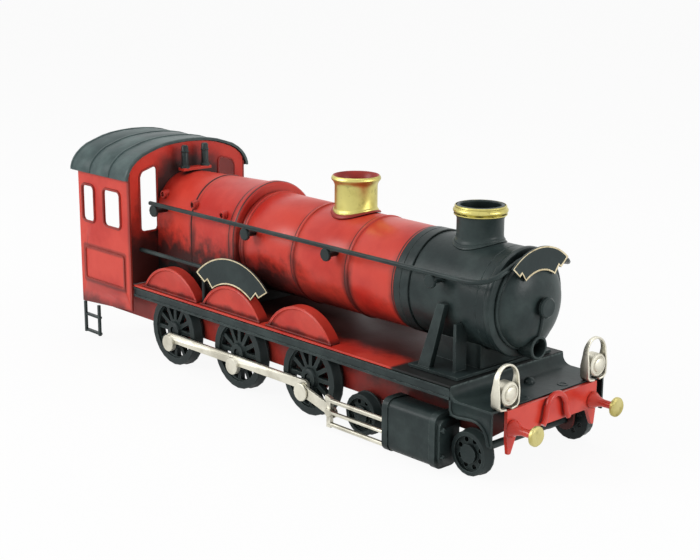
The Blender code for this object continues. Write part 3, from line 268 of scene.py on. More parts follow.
def brassFinish(name, rough, grimy, pale=0.0):
    look = brassLook
    metal = Finish(name, Metallic=1.0)
    cloud = metal.patches(*look["cloud"])
    colour = metal.blend(cloud, between(look["bright"], look["pale"], pale), look["aged"])
    dirt = metal.patches(*look["dirt"])
    grime = metal.ease(metal.recess(look["reach"]), *look["recessRange"]) * dirt * grimy
    spots = metal.patches(*look["spots"]) * look["spotShare"] * grimy
    grime = grime.atLeast(spots).atMost(1.0)
    metal.set("Base Color", metal.blend(grime * look["grimeShare"], colour, look["grime"]))
    gloss = metal.noise(*look["gloss"]) * look["glossRough"]
    metal.set("Roughness", rough + gloss + grime * look["grimeRough"])
    metal.surface(metal.noise(*look["brush"], look["brushStretch"]), look["brushDepth"])
    return metal.material


# bare nickel plate of the rods and lamps
nickelLook = dict(
    bright=solid(0.76, 0.735, 0.625), dull=solid(0.53, 0.505, 0.415), grime=solid(0.075, 0.066, 0.050),
    cloud=((85.0, 4.0), (0.40, 0.72)), reach=0.004, recessRange=(0.22, 0.80),
    dirt=((280.0, 4.0), (0.26, 0.60)), grimeShare=0.9, rough=0.36, gloss=(210.0, 3.0), glossRough=0.18,
    brush=(420.0, 4.0, 0.6), brushStretch=(0.5, 1.0, 1.6), brushDepth=0.00010,
)


def nickelFinish(name):
    look = nickelLook
    metal = Finish(name, Metallic=0.88)
    cloud = metal.patches(*look["cloud"])
    colour = metal.blend(cloud, look["bright"], look["dull"])
    dirt = metal.patches(*look["dirt"])
    grime = metal.ease(metal.recess(look["reach"]), *look["recessRange"]) * dirt
    metal.set("Base Color", metal.blend(grime * look["grimeShare"], colour, look["grime"]))
    metal.set("Roughness", look["rough"] + metal.noise(*look["gloss"]) * look["glossRough"])
    metal.surface(metal.noise(*look["brush"], look["brushStretch"]), look["brushDepth"])
    return metal.material


# aged cream paint of the plate borders
creamLook = dict(
    fresh=solid(0.80, 0.70, 0.47), aged=solid(0.52, 0.42, 0.24), cloud=((300.0, 4.0), (0.40, 0.72)),
    rough=0.42, gloss=(200.0, 2.0), glossRough=0.15, grain=(600.0, 2.0), grainDepth=0.00004,
)


def creamFinish(name):
    look = creamLook
    paint = Finish(name, Specular_IOR_Level=0.3)
    cloud = paint.patches(*look["cloud"])
    paint.set("Base Color", paint.blend(cloud, look["fresh"], look["aged"]))
    paint.set("Roughness", look["rough"] + paint.noise(*look["gloss"]) * look["glossRough"])
    paint.surface(paint.noise(*look["grain"]), look["grainDepth"])
    return paint.material


# boiler: darker along the belly, the rear flank and round each band, painted shade with airbrushed black, and
# a dark line at each band's edges
def boilerShade(paint, drift):
    look = dict(
        belly=(0.030, 0.069, 0.049), bellyDark=0.55, rear=(0.03, 0.045, -0.015), rearDark=0.45,
        flank=(0.034, 0.0755, 0.0600), flankDark=0.93,
        bands=(-0.0335, 0.006, 0.0454, 0.0776, -0.037, -0.0782, -0.0425), halo=(0.003, 0.0052, 0.0003),
        haloDark=0.12, haloLow=(0.035, 0.093, 0.062), haloLowDark=0.72,
        lineAt=-0.0013, line=(0.0007, 0.0002), lineDark=0.94,
        thinLineAt=0.0012, thinLine=(0.0004, 0.00005), thinLineDark=0.45,
    )
    x, _, z = paint.axes()
    rear = paint.border(x, drift, *look["rear"])
    belly = paint.border(z, drift, *look["belly"]) * (look["bellyDark"] + look["rearDark"] * rear)
    shade = belly.atLeast(rear * look["flankDark"] * paint.border(z, drift, *look["flank"]))
    haloDark = look["haloDark"] + look["haloLowDark"] * paint.border(z, drift, *look["haloLow"])
    for bandX in look["bands"]:
        halo = paint.border(abs(x - bandX), drift, *look["halo"])
        line = paint.ease(abs(x - (bandX + look["lineAt"])), *look["line"])
        thinLine = paint.ease(abs(x - (bandX + look["thinLineAt"])), *look["thinLine"])
        shade = shade.atLeast(halo * haloDark)
        shade = shade.atLeast(look["lineDark"] * line)
        shade = shade.atLeast(look["thinLineDark"] * thinLine)
    return shade


# deck: painted shade along its middle under the boiler, and black paint over its front
def deckShade(paint, drift):
    look = dict(middle=(0.016, 0.0330, 0.0200), middleDark=0.93, front=(0.006, 0.0885, 0.0925))
    x, y, _ = paint.axes()
    middle = look["middleDark"] * paint.border(abs(y), drift, *look["middle"])
    return middle.atLeast(paint.border(x, drift, *look["front"]))


# frames: darkened all over and more towards the front and up under the deck, painted shade with airbrushed
# black
def frameShade(paint, drift):
    look = dict(
        overall=0.46, front=(0.05, 0.02, 0.115), frontDark=0.42,
        underDeck=(0.016, 0.024, 0.036), underDark=0.22,
    )
    x, _, z = paint.axes()
    front = look["frontDark"] * paint.border(x, drift, *look["front"])
    under = look["underDark"] * paint.border(z, drift, *look["underDeck"])
    return look["overall"] + front + under


# cab side: darker at the foot and along the front corner, painted shade with airbrushed black, and in a line
# round the raised panel
def cabShade(paint, drift):
    look = dict(
        foot=(0.012, 0.0295, 0.0225), footDark=0.75,
        cornerX=-0.1150, corner=(0.002, 0.0030, 0.0004), cornerDark=0.55,
        panelX=-0.1411, panelZ=0.0455, panelLong=0.0201, panelHigh=0.0100,
        line=(0.001, 0.0024, 0.0006), lineDark=0.55, endsLong=(0.0212, 0.0204), endsHigh=(0.0112, 0.0104),
    )
    x, _, z = paint.axes()
    foot = look["footDark"] * paint.border(z, drift, *look["foot"])
    corner = look["cornerDark"] * paint.border(abs(x - look["cornerX"]), drift, *look["corner"])
    along = abs(x - look["panelX"])
    up = abs(z - look["panelZ"])
    posts = paint.border(abs(along - look["panelLong"]), drift, *look["line"])
    rails = paint.border(abs(up - look["panelHigh"]), drift, *look["line"])
    posts = posts * paint.ease(up, *look["endsHigh"])
    rails = rails * paint.ease(along, *look["endsLong"])
    return foot.atLeast(corner).atLeast(posts.atLeast(rails) * look["lineDark"])


# the wall in front of the cab is nearly black round the firebox and low down, painted shade with airbrushed
# black, and red along the roof
def cabFrontShade(paint, drift):
    look = dict(
        archZ=0.0790, near=(0.012, 0.0400, 0.0270), nearDark=0.95, low=(0.02, 0.0840, 0.0600), lowDark=0.92,
    )
    _, y, z = paint.axes()
    rise = z - look["archZ"]
    away = (y * y + rise * rise) ** 0.5
    near = look["nearDark"] * paint.border(away, drift, *look["near"])
    low = look["lowDark"] * paint.border(z, drift, *look["low"])
    return near.atLeast(low)


# splasher: painted shade at its foot on the deck, and a little darker in patches all over
def splasherShade(paint, drift):
    look = dict(foot=(0.006, 0.0435, 0.0405), footDark=0.75, overall=0.07, patches=0.4)
    height = paint.axes()[2]
    foot = look["footDark"] * paint.border(height, drift, *look["foot"])
    return foot.atLeast(look["overall"] + drift * look["patches"])


# an even darkening: painted shade inside the dome, and the darker red-brown of the window frames
def wellShade(paint, drift):
    look = dict(overall=0.48, patches=0.5)
    return look["overall"] + drift * look["patches"]


boilerRed = redFinish("boilerRed", boilerShade)
cabRed = redFinish("cabRed", cabShade)
cabFrontRed = redFinish("cabFrontRed", cabFrontShade)
deckRed = redFinish("deckRed", deckShade, reach=0.004, strength=0.9, rough=0.32)
frameRed = redFinish("frameRed", frameShade)
splasherRed = redFinish("splasherRed", splasherShade, reach=0.0035, strength=0.85)
beamRed = redFinish("beamRed", reach=0.003, strength=0.4, rough=0.24, coat=0.34)
wellRed = redFinish("wellRed", wellShade, reach=0.010, strength=0.9)
frameLineRed = redFinish("frameLineRed", wellShade, reach=0.002, strength=0.6)
# reach is how far the painted shade spreads from where parts meet
satinBlack = blackFinish("satinBlack", reach=0.016)
smokeBlack = blackFinish("smokeBlack", rough=0.32, reach=0.022)
# the roof's black is lifted 2.5 times paler: partly a paler grey paint, partly painted light on its upward
# face
roofBlack = blackFinish("roofBlack", rough=0.36, lift=2.5)
wheelBlack = blackFinish("wheelBlack", rough=0.44, dust=0.6, lift=0.8)
plateBlack = blackFinish("plateBlack", rough=0.42, dust=0.6)
domeBrass = brassFinish("domeBrass", rough=0.29, grimy=0.8)
ringBrass = brassFinish("ringBrass", rough=0.24, grimy=2.0)
paleBrass = brassFinish("paleBrass", rough=0.36, grimy=0.8, pale=0.8)
paleNickel = nickelFinish("paleNickel")
borderCream = creamFinish("borderCream")
print("finishes mixed")

turnedAngle = 32.0        # edges sharper than this stay sharp on a turned piece
wireAngle = 50.0
sheetAngle = 30.0
wireSides = 3             # bevel resolution of a bent wire


# modelling helpers, the way a piece is made by hand: a start, extrudes, a spin or a bevel
def only(piece):
    bpy.ops.object.select_all(action="DESELECT")
    piece.select_set(True)
    bpy.context.view_layer.objects.active = piece


def startPoint(place):
    bpy.ops.object.select_all(action="DESELECT")
    bpy.ops.mesh.primitive_plane_add(size=0.001, location=(0.0, 0.0, 0.0))
    bpy.ops.object.mode_set(mode="EDIT")
    bpy.ops.mesh.select_mode(type="VERT")
    bpy.ops.mesh.select_all(action="SELECT")
    bpy.ops.mesh.merge(type="CENTER")
    bpy.ops.transform.translate(value=place)


def drawLine(points):
    startPoint(points[0])
    for one, two in zip(points, points[1:]):
        step = tuple(b - a for a, b in zip(one, two))
        bpy.ops.mesh.extrude_region_move(TRANSFORM_OT_translate={"value": step})


def fillOutline():
    bpy.ops.mesh.select_all(action="SELECT")
    bpy.ops.mesh.edge_face_add()


def closeMesh(angle):
    bpy.ops.mesh.select_all(action="SELECT")
    bpy.ops.mesh.remove_doubles(threshold=0.000002)
    bpy.ops.mesh.normals_make_consistent(inside=False)
    bpy.ops.object.mode_set(mode="OBJECT")
    bpy.ops.object.shade_smooth_by_angle(angle=math.radians(angle))
    return bpy.context.active_object


# points that lie small steps away from one base point
def stepped(first, second, steps):
    return [(first + a, second + b) for a, b in steps]


# runs a profile in to the axis at both of its ends
def capped(profile):
    return [(0.0, profile[0][1])] + profile + [(0.0, profile[-1][1])]


# a size that changes evenly from one end of a piece to the other
def taper(x0, first, x1, last):
    return lambda x: first + (last - first) * (x - x0) / (x1 - x0)


# profile is a list of (radius, distance along the axis)
def turnPiece(axis, centre, profile, steps=96):
    along = Vector((axis == "x", axis == "y", axis == "z"))
    out = Vector((0.0, 0.0, 1.0)) if axis != "z" else Vector((1.0, 0.0, 0.0))
    drawLine([Vector(centre) + along * far + out * radius for radius, far in profile])
    bpy.ops.mesh.select_all(action="SELECT")
    bpy.ops.mesh.spin(steps=steps, angle=math.tau, center=centre, axis=along)
    return closeMesh(turnedAngle)


def bendWire(points, radius, closed=False):
    drawLine(points)
    if closed:
        bpy.ops.object.mode_set(mode="OBJECT")
        mesh = bpy.context.active_object.data
        for vertex in mesh.vertices:
            vertex.select = vertex.index in (0, len(mesh.vertices) - 1)
        bpy.ops.object.mode_set(mode="EDIT")
        bpy.ops.mesh.edge_face_add()
    bpy.ops.object.mode_set(mode="OBJECT")
    bpy.ops.object.convert(target="CURVE")
    curve = bpy.context.active_object.data
    curve.bevel_depth = radius
    curve.bevel_resolution = wireSides
    curve.use_fill_caps = True
    bpy.ops.object.convert(target="MESH")
    bpy.ops.object.mode_set(mode="EDIT")
    return closeMesh(wireAngle)


def cutWith(piece, cutter):
    only(piece)
    step = piece.modifiers.new("seat", "BOOLEAN")
    step.operation = "DIFFERENCE"
    step.solver = "EXACT"
    step.object = cutter
    bpy.ops.object.modifier_apply(modifier="seat")
    bpy.data.objects.remove(cutter)
    bpy.ops.object.shade_smooth_by_angle(angle=math.radians(turnedAngle))
    return piece


# draws a flat outline, fills it and pulls it out to a sheet
def sheetOf(points, pull):
    drawLine(points)
    fillOutline()
    bpy.ops.mesh.extrude_region_move(TRANSFORM_OT_translate={"value": pull})
    return closeMesh(sheetAngle)


# a filled outline grows along x: scaled at each station about a point at height pivotAt(x)
def growSkin(x0, size, stations, pivotAt):
    lastX, lastSize = x0, size
    for x, nextSize in stations:
        move = (x - lastX, 0.0, pivotAt(x) - pivotAt(lastX))
        ratio = nextSize / lastSize
        bpy.ops.mesh.extrude_region_move(TRANSFORM_OT_translate={"value": move})
        bpy.ops.transform.resize(value=(1.0, ratio, ratio), center_override=(x, 0.0, pivotAt(x)))
        lastX, lastSize = x, nextSize


def roundedBox(x0, x1, z0, z1, corner, steps=6):
    centres = (
        (x1 - corner, z1 - corner), (x0 + corner, z1 - corner),
        (x0 + corner, z0 + corner), (x1 - corner, z0 + corner),
    )
    points = []
    for quarter, (cx, cz) in enumerate(centres):
        for i in range(steps + 1):
            turn = 0.5 * math.pi * (quarter + i / steps)
            points.append((cx + corner * math.cos(turn), cz + corner * math.sin(turn)))
    return points


# leaves only the faces that look one way selected
def pickFacing(piece, facing):
    only(piece)
    bpy.ops.object.mode_set(mode="EDIT")
    bpy.ops.mesh.select_mode(type="FACE")
    bpy.ops.mesh.select_all(action="DESELECT")
    bpy.ops.object.mode_set(mode="OBJECT")
    for face in piece.data.polygons:
        face.select = face.normal.dot(Vector(facing)) > 0.9


# sinks the picked faces behind a rim
def sinkPicked(rim, depth):
    bpy.ops.object.mode_set(mode="EDIT")
    bpy.ops.mesh.inset(thickness=rim, depth=-depth, use_boundary=True)
    bpy.ops.object.mode_set(mode="OBJECT")


# names a finished piece, paints it and lets it ride where the solid does
def fit(piece, name, finish, *stands, body="locomotive"):
    piece.name = name
    piece.data.name = name
    if not piece.data.materials:
        piece.data.materials.append(finish)
    if stands:
        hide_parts(*stands)
    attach(piece, body)
    return piece


# a merged copy of a solid, smooth where it is round
def smoothCopy(nodeName, angle):
    piece = bpy.data.objects.new(nodeName + "Skin", nodes[nodeName].data.copy())
    bpy.context.scene.collection.objects.link(piece)
    only(piece)
    bpy.ops.object.mode_set(mode="EDIT")
    bpy.ops.mesh.select_all(action="SELECT")
    bpy.ops.mesh.remove_doubles(threshold=0.000004)
    bpy.ops.mesh.dissolve_limited(angle_limit=math.radians(0.6))
    bpy.ops.object.mode_set(mode="OBJECT")
    bpy.ops.object.shade_smooth_by_angle(angle=math.radians(angle))
    piece.data.materials.clear()
    return piece


boilerZ = 0.0730
deckZ = 0.0400
boilerAxis = (0.0, 0.0, boilerZ)
sides = ((-1.0, "Right"), (1.0, "Left"))


# boiler barrel: slightly tapered, with a raised band between two fine grooves at each joint
def buildBarrel():
    look = dict(
        rearR=0.0264, frontR=0.0252, around=128, bands=(-0.0335, 0.006, 0.0454), bandHalf=0.0009,
        band=((0.0, 0.00055), (0.75, 0.00044), (1.0, 0.0), (1.2, -0.00012), (1.45, 0.0)),
    )
    low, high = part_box("boiler_barrel")
    radius = taper(low.x, look["rearR"], high.x, look["frontR"])
    halfBand = look["band"]
    wholeBand = [(-off, lift) for off, lift in reversed(halfBand[1:])] + list(halfBand)
    shape = [(radius(low.x), low.x)]
    for middle in look["bands"]:
        for off, lift in wholeBand:
            x = middle + off * look["bandHalf"]
            shape.append((radius(x) + lift, x))
    shape.append((radius(high.x), high.x))
    barrel = turnPiece("x", boilerAxis, capped(shape), look["around"])
    fit(barrel, "boilerBarrelSkin", boilerRed, "boiler_barrel")


# washout plugs: three short rings on each shoulder of the firebox
def buildPlugs(radius, archAt):
    look = dict(
        places=(-0.1095, -0.0786, -0.0502), rise=0.0114, r=0.0023, around=28,
        ring=((0.0003, -0.0020), (0.0003, 0.0008), (0.0, 0.0012), (0.0, 0.0021), (-0.0004, 0.0026),
              (-0.0009, 0.0026), (-0.0011, 0.0022), (-0.0011, 0.0017)),
    )
    ring = capped(stepped(look["r"], 0.0, look["ring"]))
    for side, word in sides:
        for number, x in enumerate(look["places"], 1):
            face = math.sqrt(radius(x) ** 2 - look["rise"] ** 2)
            centre = (x, side * face, archAt(x) + look["rise"])
            plug = turnPiece("y", centre, [(out, side * far) for out, far in ring], look["around"])
            fit(plug, "washoutPlug" + word + str(number), boilerRed)


# firebox: an arch on straight legs that widens to a rolled lip at its front
def buildFirebox():
    look = dict(
        rearR=0.0222, frontR=0.0278, front=-0.0370, archZ=0.0790, archDrop=0.0032, bury=0.004, steps=56,
        start=0.0012, bandAt=0.43, lipLength=0.0050,
        band=((-0.0004, 0.0), (0.0, 0.0004), (0.0008, 0.0005), (0.0016, 0.0004), (0.0020, 0.0)),
        lipRear=((-0.0012, 0.0), (-0.0004, 0.0003), (0.0, 0.0009), (0.0004, 0.0011)),
        lipFront=((-0.0016, 0.0011), (-0.0008, 0.0008), (-0.0002, 0.0001), (0.0, -0.0009)),
    )
    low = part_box("firebox")[0]
    x0, x1, r = low.x, look["front"], look["rearR"]
    radius = taper(x0, look["rearR"], x1, look["frontR"])
    archAt = taper(x0, look["archZ"], x1, look["archZ"] - look["archDrop"])
    legs = [(r, low.z - look["bury"]), (r, 0.5 * (low.z + look["archZ"]))]
    turns = [math.pi * i / look["steps"] for i in range(look["steps"] + 1)]
    arch = [(r * math.cos(turn), look["archZ"] + r * math.sin(turn)) for turn in turns]
    outline = legs + arch + [(-y, z) for y, z in reversed(legs)]
    drawLine([(x0, y, z) for y, z in outline])
    fillOutline()                         # back face, then the shell grows forward from it
    raised = [(x0 + look["start"], 0.0)]
    raised += stepped(x0 + look["bandAt"] * (x1 - x0), 0.0, look["band"])
    raised += stepped(x1 - look["lipLength"], 0.0, look["lipRear"])
    raised += stepped(x1, 0.0, look["lipFront"])
    growSkin(x0, r, [(x, radius(x) + lift) for x, lift in raised], archAt)
    bpy.ops.mesh.select_all(action="SELECT")
    base = (0.0, 0.0, low.z)
    bpy.ops.mesh.bisect(plane_co=base, plane_no=(0.0, 0.0, 1.0), clear_inner=True, use_fill=True)
    fit(closeMesh(sheetAngle), "fireboxSkin", boilerRed, "firebox")
    buildPlugs(radius, archAt)


# smokebox: a wrapper with a double ring at its rear and a rounded one at its front
def buildSmokebox():
    look = dict(
        r=0.0248, ring=0.0008, band=0.0095, around=128,
        rear=((-0.0003, 0.0), (0.0, 0.0003), (0.0, 0.0040), (-0.0003, 0.0043), (0.0, 0.0046)),
        bandEdge=((0.0, -0.0003), (-0.0003, 0.0)),
        wall=((-0.0002, 0.0), (-0.0002, 0.0004), (0.0, 0.0006)),
        seam=((0.0, -0.0088), (-0.0002, -0.0085), (0.0, -0.0082), (0.0, -0.0040)),
        front=((-0.0002, -0.0032), (0.0, -0.0026), (0.0, -0.0012), (-0.0004, -0.0003), (-0.0012, 0.0)),
    )
    low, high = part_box("smokebox")
    r, ring = look["r"], look["r"] + look["ring"]
    bandEnd = low.x + look["band"]
    shape = stepped(ring, low.x, look["rear"]) + stepped(ring, bandEnd, look["bandEdge"])
    shape += stepped(r, bandEnd, look["wall"]) + stepped(r, high.x, look["seam"])
    shape += stepped(ring, high.x, look["front"])
    smokebox = turnPiece("x", boilerAxis, capped(shape), look["around"])
    fit(smokebox, "smokeboxSkin", smokeBlack, "smokebox")


# smokebox door with its dart, the open stub below it and a strap between the two
def buildDoor():
    look = dict(
        r=0.0217, bulge=0.0094, steps=24, around=112, dartAround=40, stubAround=48,
        rim=((0.0, 0.0), (0.0, 0.0008), (-0.0004, 0.0012), (-0.0009, 0.0013)),
        dartR=0.0048, dartOut=0.0036, dartHead=((-0.0003, 0.0014), (0.0, 0.0017)),
        dartNeck=((0.0058, -0.0022), (0.0046, -0.0005), (0.0030, 0.0001), (0.0026, 0.0008), (0.0030, 0.0012)),
        dartFace=((0.0, -0.0007), (-0.0007, 0.0)),
        stubR=0.0056, stubOut=0.0084, stubBelow=0.0195, stubBack=0.0002, stubFloor=0.0010,
        stubMouth=((0.0, -0.0004), (-0.0004, 0.0), (-0.0012, 0.0), (-0.0014, -0.0004)),
        strapTop=0.0028, strapLong=0.0122, strapRise=0.0002, strapR=0.0009, strapSteps=8,
    )
    x0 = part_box("smokebox_door")[0].x
    shape = [(0.0, x0)] + stepped(look["r"], x0, look["rim"])
    domeR, domeX = shape[-1]              # the bulge starts where the rim ends
    height = x0 + look["bulge"] - domeX
    for i in range(1, look["steps"]):
        turn = 0.5 * math.pi * i / look["steps"]
        shape.append((domeR * math.cos(turn), domeX + height * math.sin(turn)))
    tip = x0 + look["bulge"]
    shape.append((0.0, tip))
    door = turnPiece("x", boilerAxis, shape, look["around"])
    fit(door, "smokeboxDoorSkin", smokeBlack, "smokebox_door")
    dart = stepped(0.0, tip, look["dartNeck"]) + stepped(look["dartR"], tip, look["dartHead"])
    dart += stepped(look["dartR"], tip + look["dartOut"], look["dartFace"])
    dartPiece = turnPiece("x", boilerAxis, capped(dart), look["dartAround"])
    fit(dartPiece, "doorDart", smokeBlack)
    stub = [(look["stubR"], x0 + look["stubBack"])]
    stub += stepped(look["stubR"], x0 + look["stubOut"], look["stubMouth"])
    stub.append((stub[-1][0], x0 + look["stubFloor"]))
    stubAxis = (0.0, 0.0, boilerZ - look["stubBelow"])
    stubPiece = turnPiece("x", stubAxis, capped(stub), look["stubAround"])
    fit(stubPiece, "blastStub", smokeBlack)
    strap = []
    for i in range(look["strapSteps"] + 1):
        below = look["strapTop"] + look["strapLong"] * i / look["strapSteps"]
        ahead = height * math.sqrt(1.0 - (below / domeR) ** 2)
        strap.append((domeX + look["strapRise"] + ahead, 0.0, boilerZ - below))
    fit(bendWire(strap, look["strapR"]), "doorStrap", smokeBlack)


# a lying drum as round as the boiler, to cut a seat with
def seatCutter(x, radius):
    look = dict(around=160, long=0.08)
    bpy.ops.object.select_all(action="DESELECT")
    bpy.ops.mesh.primitive_cylinder_add(
        vertices=look["around"], radius=radius, depth=look["long"],
        location=(x, 0.0, boilerZ), rotation=(0.0, math.pi / 2.0, 0.0))
    bpy.ops.object.transform_apply(location=True, rotation=True, scale=True)
    return bpy.context.active_object


# lets the foot of a turned piece follow the round of the boiler under it
def drapeFoot(piece, seat, reach, blend=0.0062):
    for point in piece.data.vertices:
        share = min(max((seat + blend - point.co.z) / blend, 0.0), 1.0)
        point.co.z -= share * (reach - math.sqrt(reach ** 2 - point.co.y ** 2))


# turns an open-topped piece that stands on the boiler, its foot draped and cut to the round
def turnOnBoiler(look, seat, reach):
    r, top, bore = look["r"], look["top"], look["r"] - look["wall"]
    shape = stepped(r + look["foot"], seat, look["flange"]) + stepped(r, seat, look["neck"])
    shape += stepped(r, top, look["head"]) + stepped(bore, top, look["mouth"])
    shape.append((bore, seat + look["floor"]))
    piece = turnPiece("z", (look["x"], 0.0, 0.0), capped(shape))
    drapeFoot(piece, seat, reach)
    return cutWith(piece, seatCutter(look["x"], reach))


def buildChimney():
    look = dict(
        x=0.1083, r=0.0110, wall=0.0014, foot=0.0017, top=0.1140, floor=0.0040, seat=0.0248, seatR=0.0251,
        flange=((0.0, -0.0050), (0.0, 0.0003), (-0.0003, 0.0006), (-0.0006, 0.0007)),
        neck=((0.0009, 0.0008), (0.0008, 0.0013), (0.0004, 0.0016), (0.0001, 0.0022), (0.0, 0.0030)),
        head=((0.0, -0.0064), (0.0003, -0.0056), (0.0004, -0.0010), (0.0001, -0.0002), (-0.0004, 0.0)),
        mouth=((0.0004, 0.0), (0.0, -0.0006)),
        ringBelow=0.0048,
        ring=((0.0005, 0.0), (0.0010, 0.0), (0.0014, 0.0003), (0.0014, 0.0007), (0.0009, 0.0010),
              (0.0012, 0.0013), (0.0017, 0.0018), (0.0018, 0.0024), (0.0016, 0.0030), (0.0010, 0.0035),
              (0.0009, 0.0037), (0.0011, 0.0041), (0.0008, 0.0046), (0.0005, 0.0047), (0.0005, 0.0)),
    )
    chimney = turnOnBoiler(look, boilerZ + look["seat"], look["seatR"])
    fit(chimney, "chimneySkin", smokeBlack, "chimney")
    bead = stepped(look["r"], look["top"] - look["ringBelow"], look["ring"])
    ring = turnPiece("z", (look["x"], 0.0, 0.0), bead)
    fit(ring, "chimneyRingSkin", ringBrass, "chimney_ring")


# dome: a brass sleeve with a rolled rim, red inside and on its flange, both darkened with painted shade
def buildDome():
    look = dict(
        x=0.0250, r=0.0108, wall=0.0012, foot=0.0019, top=0.1166, floor=0.0060, crown=0.02596, gap=0.0003,
        flange=((0.0, -0.0050), (0.0, 0.0005), (-0.0003, 0.0009), (-0.0006, 0.0010)),
        neck=((0.0008, 0.0011), (0.0007, 0.0015), (0.0003, 0.0018), (0.0, 0.0024)),
        head=((0.0, -0.0050), (0.0003, -0.0040), (0.0009, -0.0028), (0.0014, -0.0024), (0.0017, -0.0016),
              (0.0015, -0.0008), (0.0011, -0.0002), (0.0008, 0.0), (0.0005, -0.0002)),
        mouth=((0.0010, -0.0016), (0.0003, -0.0028), (0.0, -0.0040)),
        wellR=0.0009, wellLow=0.0055, flangeR=0.0009, flangeTop=0.0020,
    )
    seat, r = boilerZ + look["crown"], look["r"]
    piece = turnOnBoiler(look, seat, look["crown"] + look["gap"])
    piece.data.materials.clear()
    piece.data.materials.append(domeBrass)
    piece.data.materials.append(wellRed)
    for face in piece.data.polygons:
        away = Vector((face.center.x - look["x"], face.center.y, 0.0))
        out, up = away.length, face.center.z - seat
        inward = face.normal.dot(away) < 0.0 or out < r - look["wall"]
        well = inward and out < r + look["wellR"] and up > look["wellLow"]
        flange = out > r + look["flangeR"] and up < look["flangeTop"]
        face.material_index = 1 if well or flange else 0
    fit(piece, "domeSkin", domeBrass, "dome")


# arched plates: bare, with a raised cream border
def buildPlate(nodeName, facing):
    look = dict(border=0.0007, sink=0.00022)
    piece = smoothCopy(nodeName, sheetAngle)
    piece.data.materials.append(plateBlack)
    piece.data.materials.append(borderCream)
    pickFacing(piece, facing)
    sinkPicked(look["border"], look["sink"])
    for face in piece.data.polygons:
        onBorder = not face.select and face.normal.dot(Vector(facing)) > 0.5
        face.material_index = 1 if onBorder else 0
    fit(piece, nodeName + "Skin", plateBlack, nodeName)


# cab roof, half of its section as (y, z): a flat crown with rolled eaves, then its underside
roofCrown = [
    (0.0, 0.1187), (0.0080, 0.1184), (0.0150, 0.1177), (0.0210, 0.1165),
    (0.0270, 0.1146), (0.0320, 0.1129), (0.0360, 0.1105), (0.0390, 0.1080),
    (0.0411, 0.1055), (0.0424, 0.1030), (0.0431, 0.1008), (0.0432, 0.0992),
]
roofUnder = [
    (0.0416, 0.0992), (0.0414, 0.1010), (0.0402, 0.1040), (0.0382, 0.1068),
    (0.0353, 0.1093), (0.0314, 0.1116), (0.0266, 0.1134), (0.0207, 0.1152),
    (0.0148, 0.1164), (0.0079, 0.1171), (0.0, 0.1174),
]


# two seams across the roof and a rim at each end, as steps along x with their share of the lift
def buildRoof():
    look = dict(
        seams=(0.335, 0.675), lift=0.0085, pivotZ=0.0650, sharp=36.0,
        rear=((0.0005, 1.0), (0.0016, 1.0), (0.0020, 0.0)),
        seam=((-0.0009, 0.0), (-0.0004, -0.5), (0.0, 0.9), (0.00055, 1.0), (0.0011, 0.9), (0.0015, -0.3),
              (0.0020, 0.0)),
        front=((-0.0020, 0.0), (-0.0016, 1.0), (-0.0004, 1.0), (0.0, 0.5)),
    )
    low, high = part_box("cab_roof")
    half = roofCrown + roofUnder
    loop = half + [(-y, z) for y, z in reversed(half[1:-1])]
    drawLine([(low.x, y, z) for y, z in loop])
    fillOutline()
    raised = stepped(low.x, 0.0, look["rear"])
    for share in look["seams"]:
        raised += stepped(low.x + share * (high.x - low.x), 0.0, look["seam"])
    raised += stepped(high.x, 0.0, look["front"])
    growSkin(low.x, 1.0, [(x, 1.0 + look["lift"] * share) for x, share in raised], lambda x: look["pivotZ"])
    fit(closeMesh(look["sharp"]), "cabRoofSkin", roofBlack, "cab_roof")


# the cab's front wall reaches up under that crown
def buildCabFront():
    look = dict(
        half=0.0399, underRoof=0.0002, near=0.0218, far=0.0336, sill=0.0692, corner=0.0022,
        outerHead=0.1003, innerHead=0.1060, wire=0.0006, proud=0.0001, cutDeep=0.02,
    )
    low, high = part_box("cab_front")
    half = look["half"]
    crown = [(min(y, half), z - look["underRoof"]) for y, z in reversed(roofUnder[2:])]
    outline = [(-half, low.z)] + [(-y, z) for y, z in reversed(crown)] + crown[1:] + [(half, low.z)]
    wall = sheetOf([(low.x, y, z) for y, z in outline], (high.x - low.x, 0.0, 0.0))
    near, far, sill, c = look["near"], look["far"], look["sill"], look["corner"]
    outer, inner = look["outerHead"], look["innerHead"]
    pane = [
        (near + c, sill), (far - c, sill), (far - 0.3 * c, sill + 0.3 * c), (far, sill + c),
        (far, outer), (far - 0.4 * c, outer + c), (far - c, outer + 1.6 * c),
        (near + c, inner), (near + 0.3 * c, inner - 0.3 * c), (near, inner - c),
        (near, sill + c), (near + 0.3 * c, sill + 0.3 * c),
    ]
    cutStart = low.x - 0.5 * look["cutDeep"]
    for side, word in sides:
        cutWith(wall, sheetOf([(cutStart, side * y, z) for y, z in pane], (look["cutDeep"], 0.0, 0.0)))
        ring = [(high.x + look["proud"], side * y, z) for y, z in pane]
        fit(bendWire(ring, look["wire"], True), "paneFrame" + word, frameLineRed)
    fit(wall, "cabFrontSkin", cabFrontRed, "cab_front")


# the sides keep the solid's shape, with their top edge tucked up into the rolled eave
def buildCabSide(nodeName):
    look = dict(tuck=0.0044, topEdge=0.0004)
    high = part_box(nodeName)[1]
    piece = smoothCopy(nodeName, sheetAngle)
    for point in piece.data.vertices:
        if point.co.z > high.z - look["topEdge"]:
            point.co.z += look["tuck"]
    fit(piece, nodeName + "Skin", cabRed, nodeName)


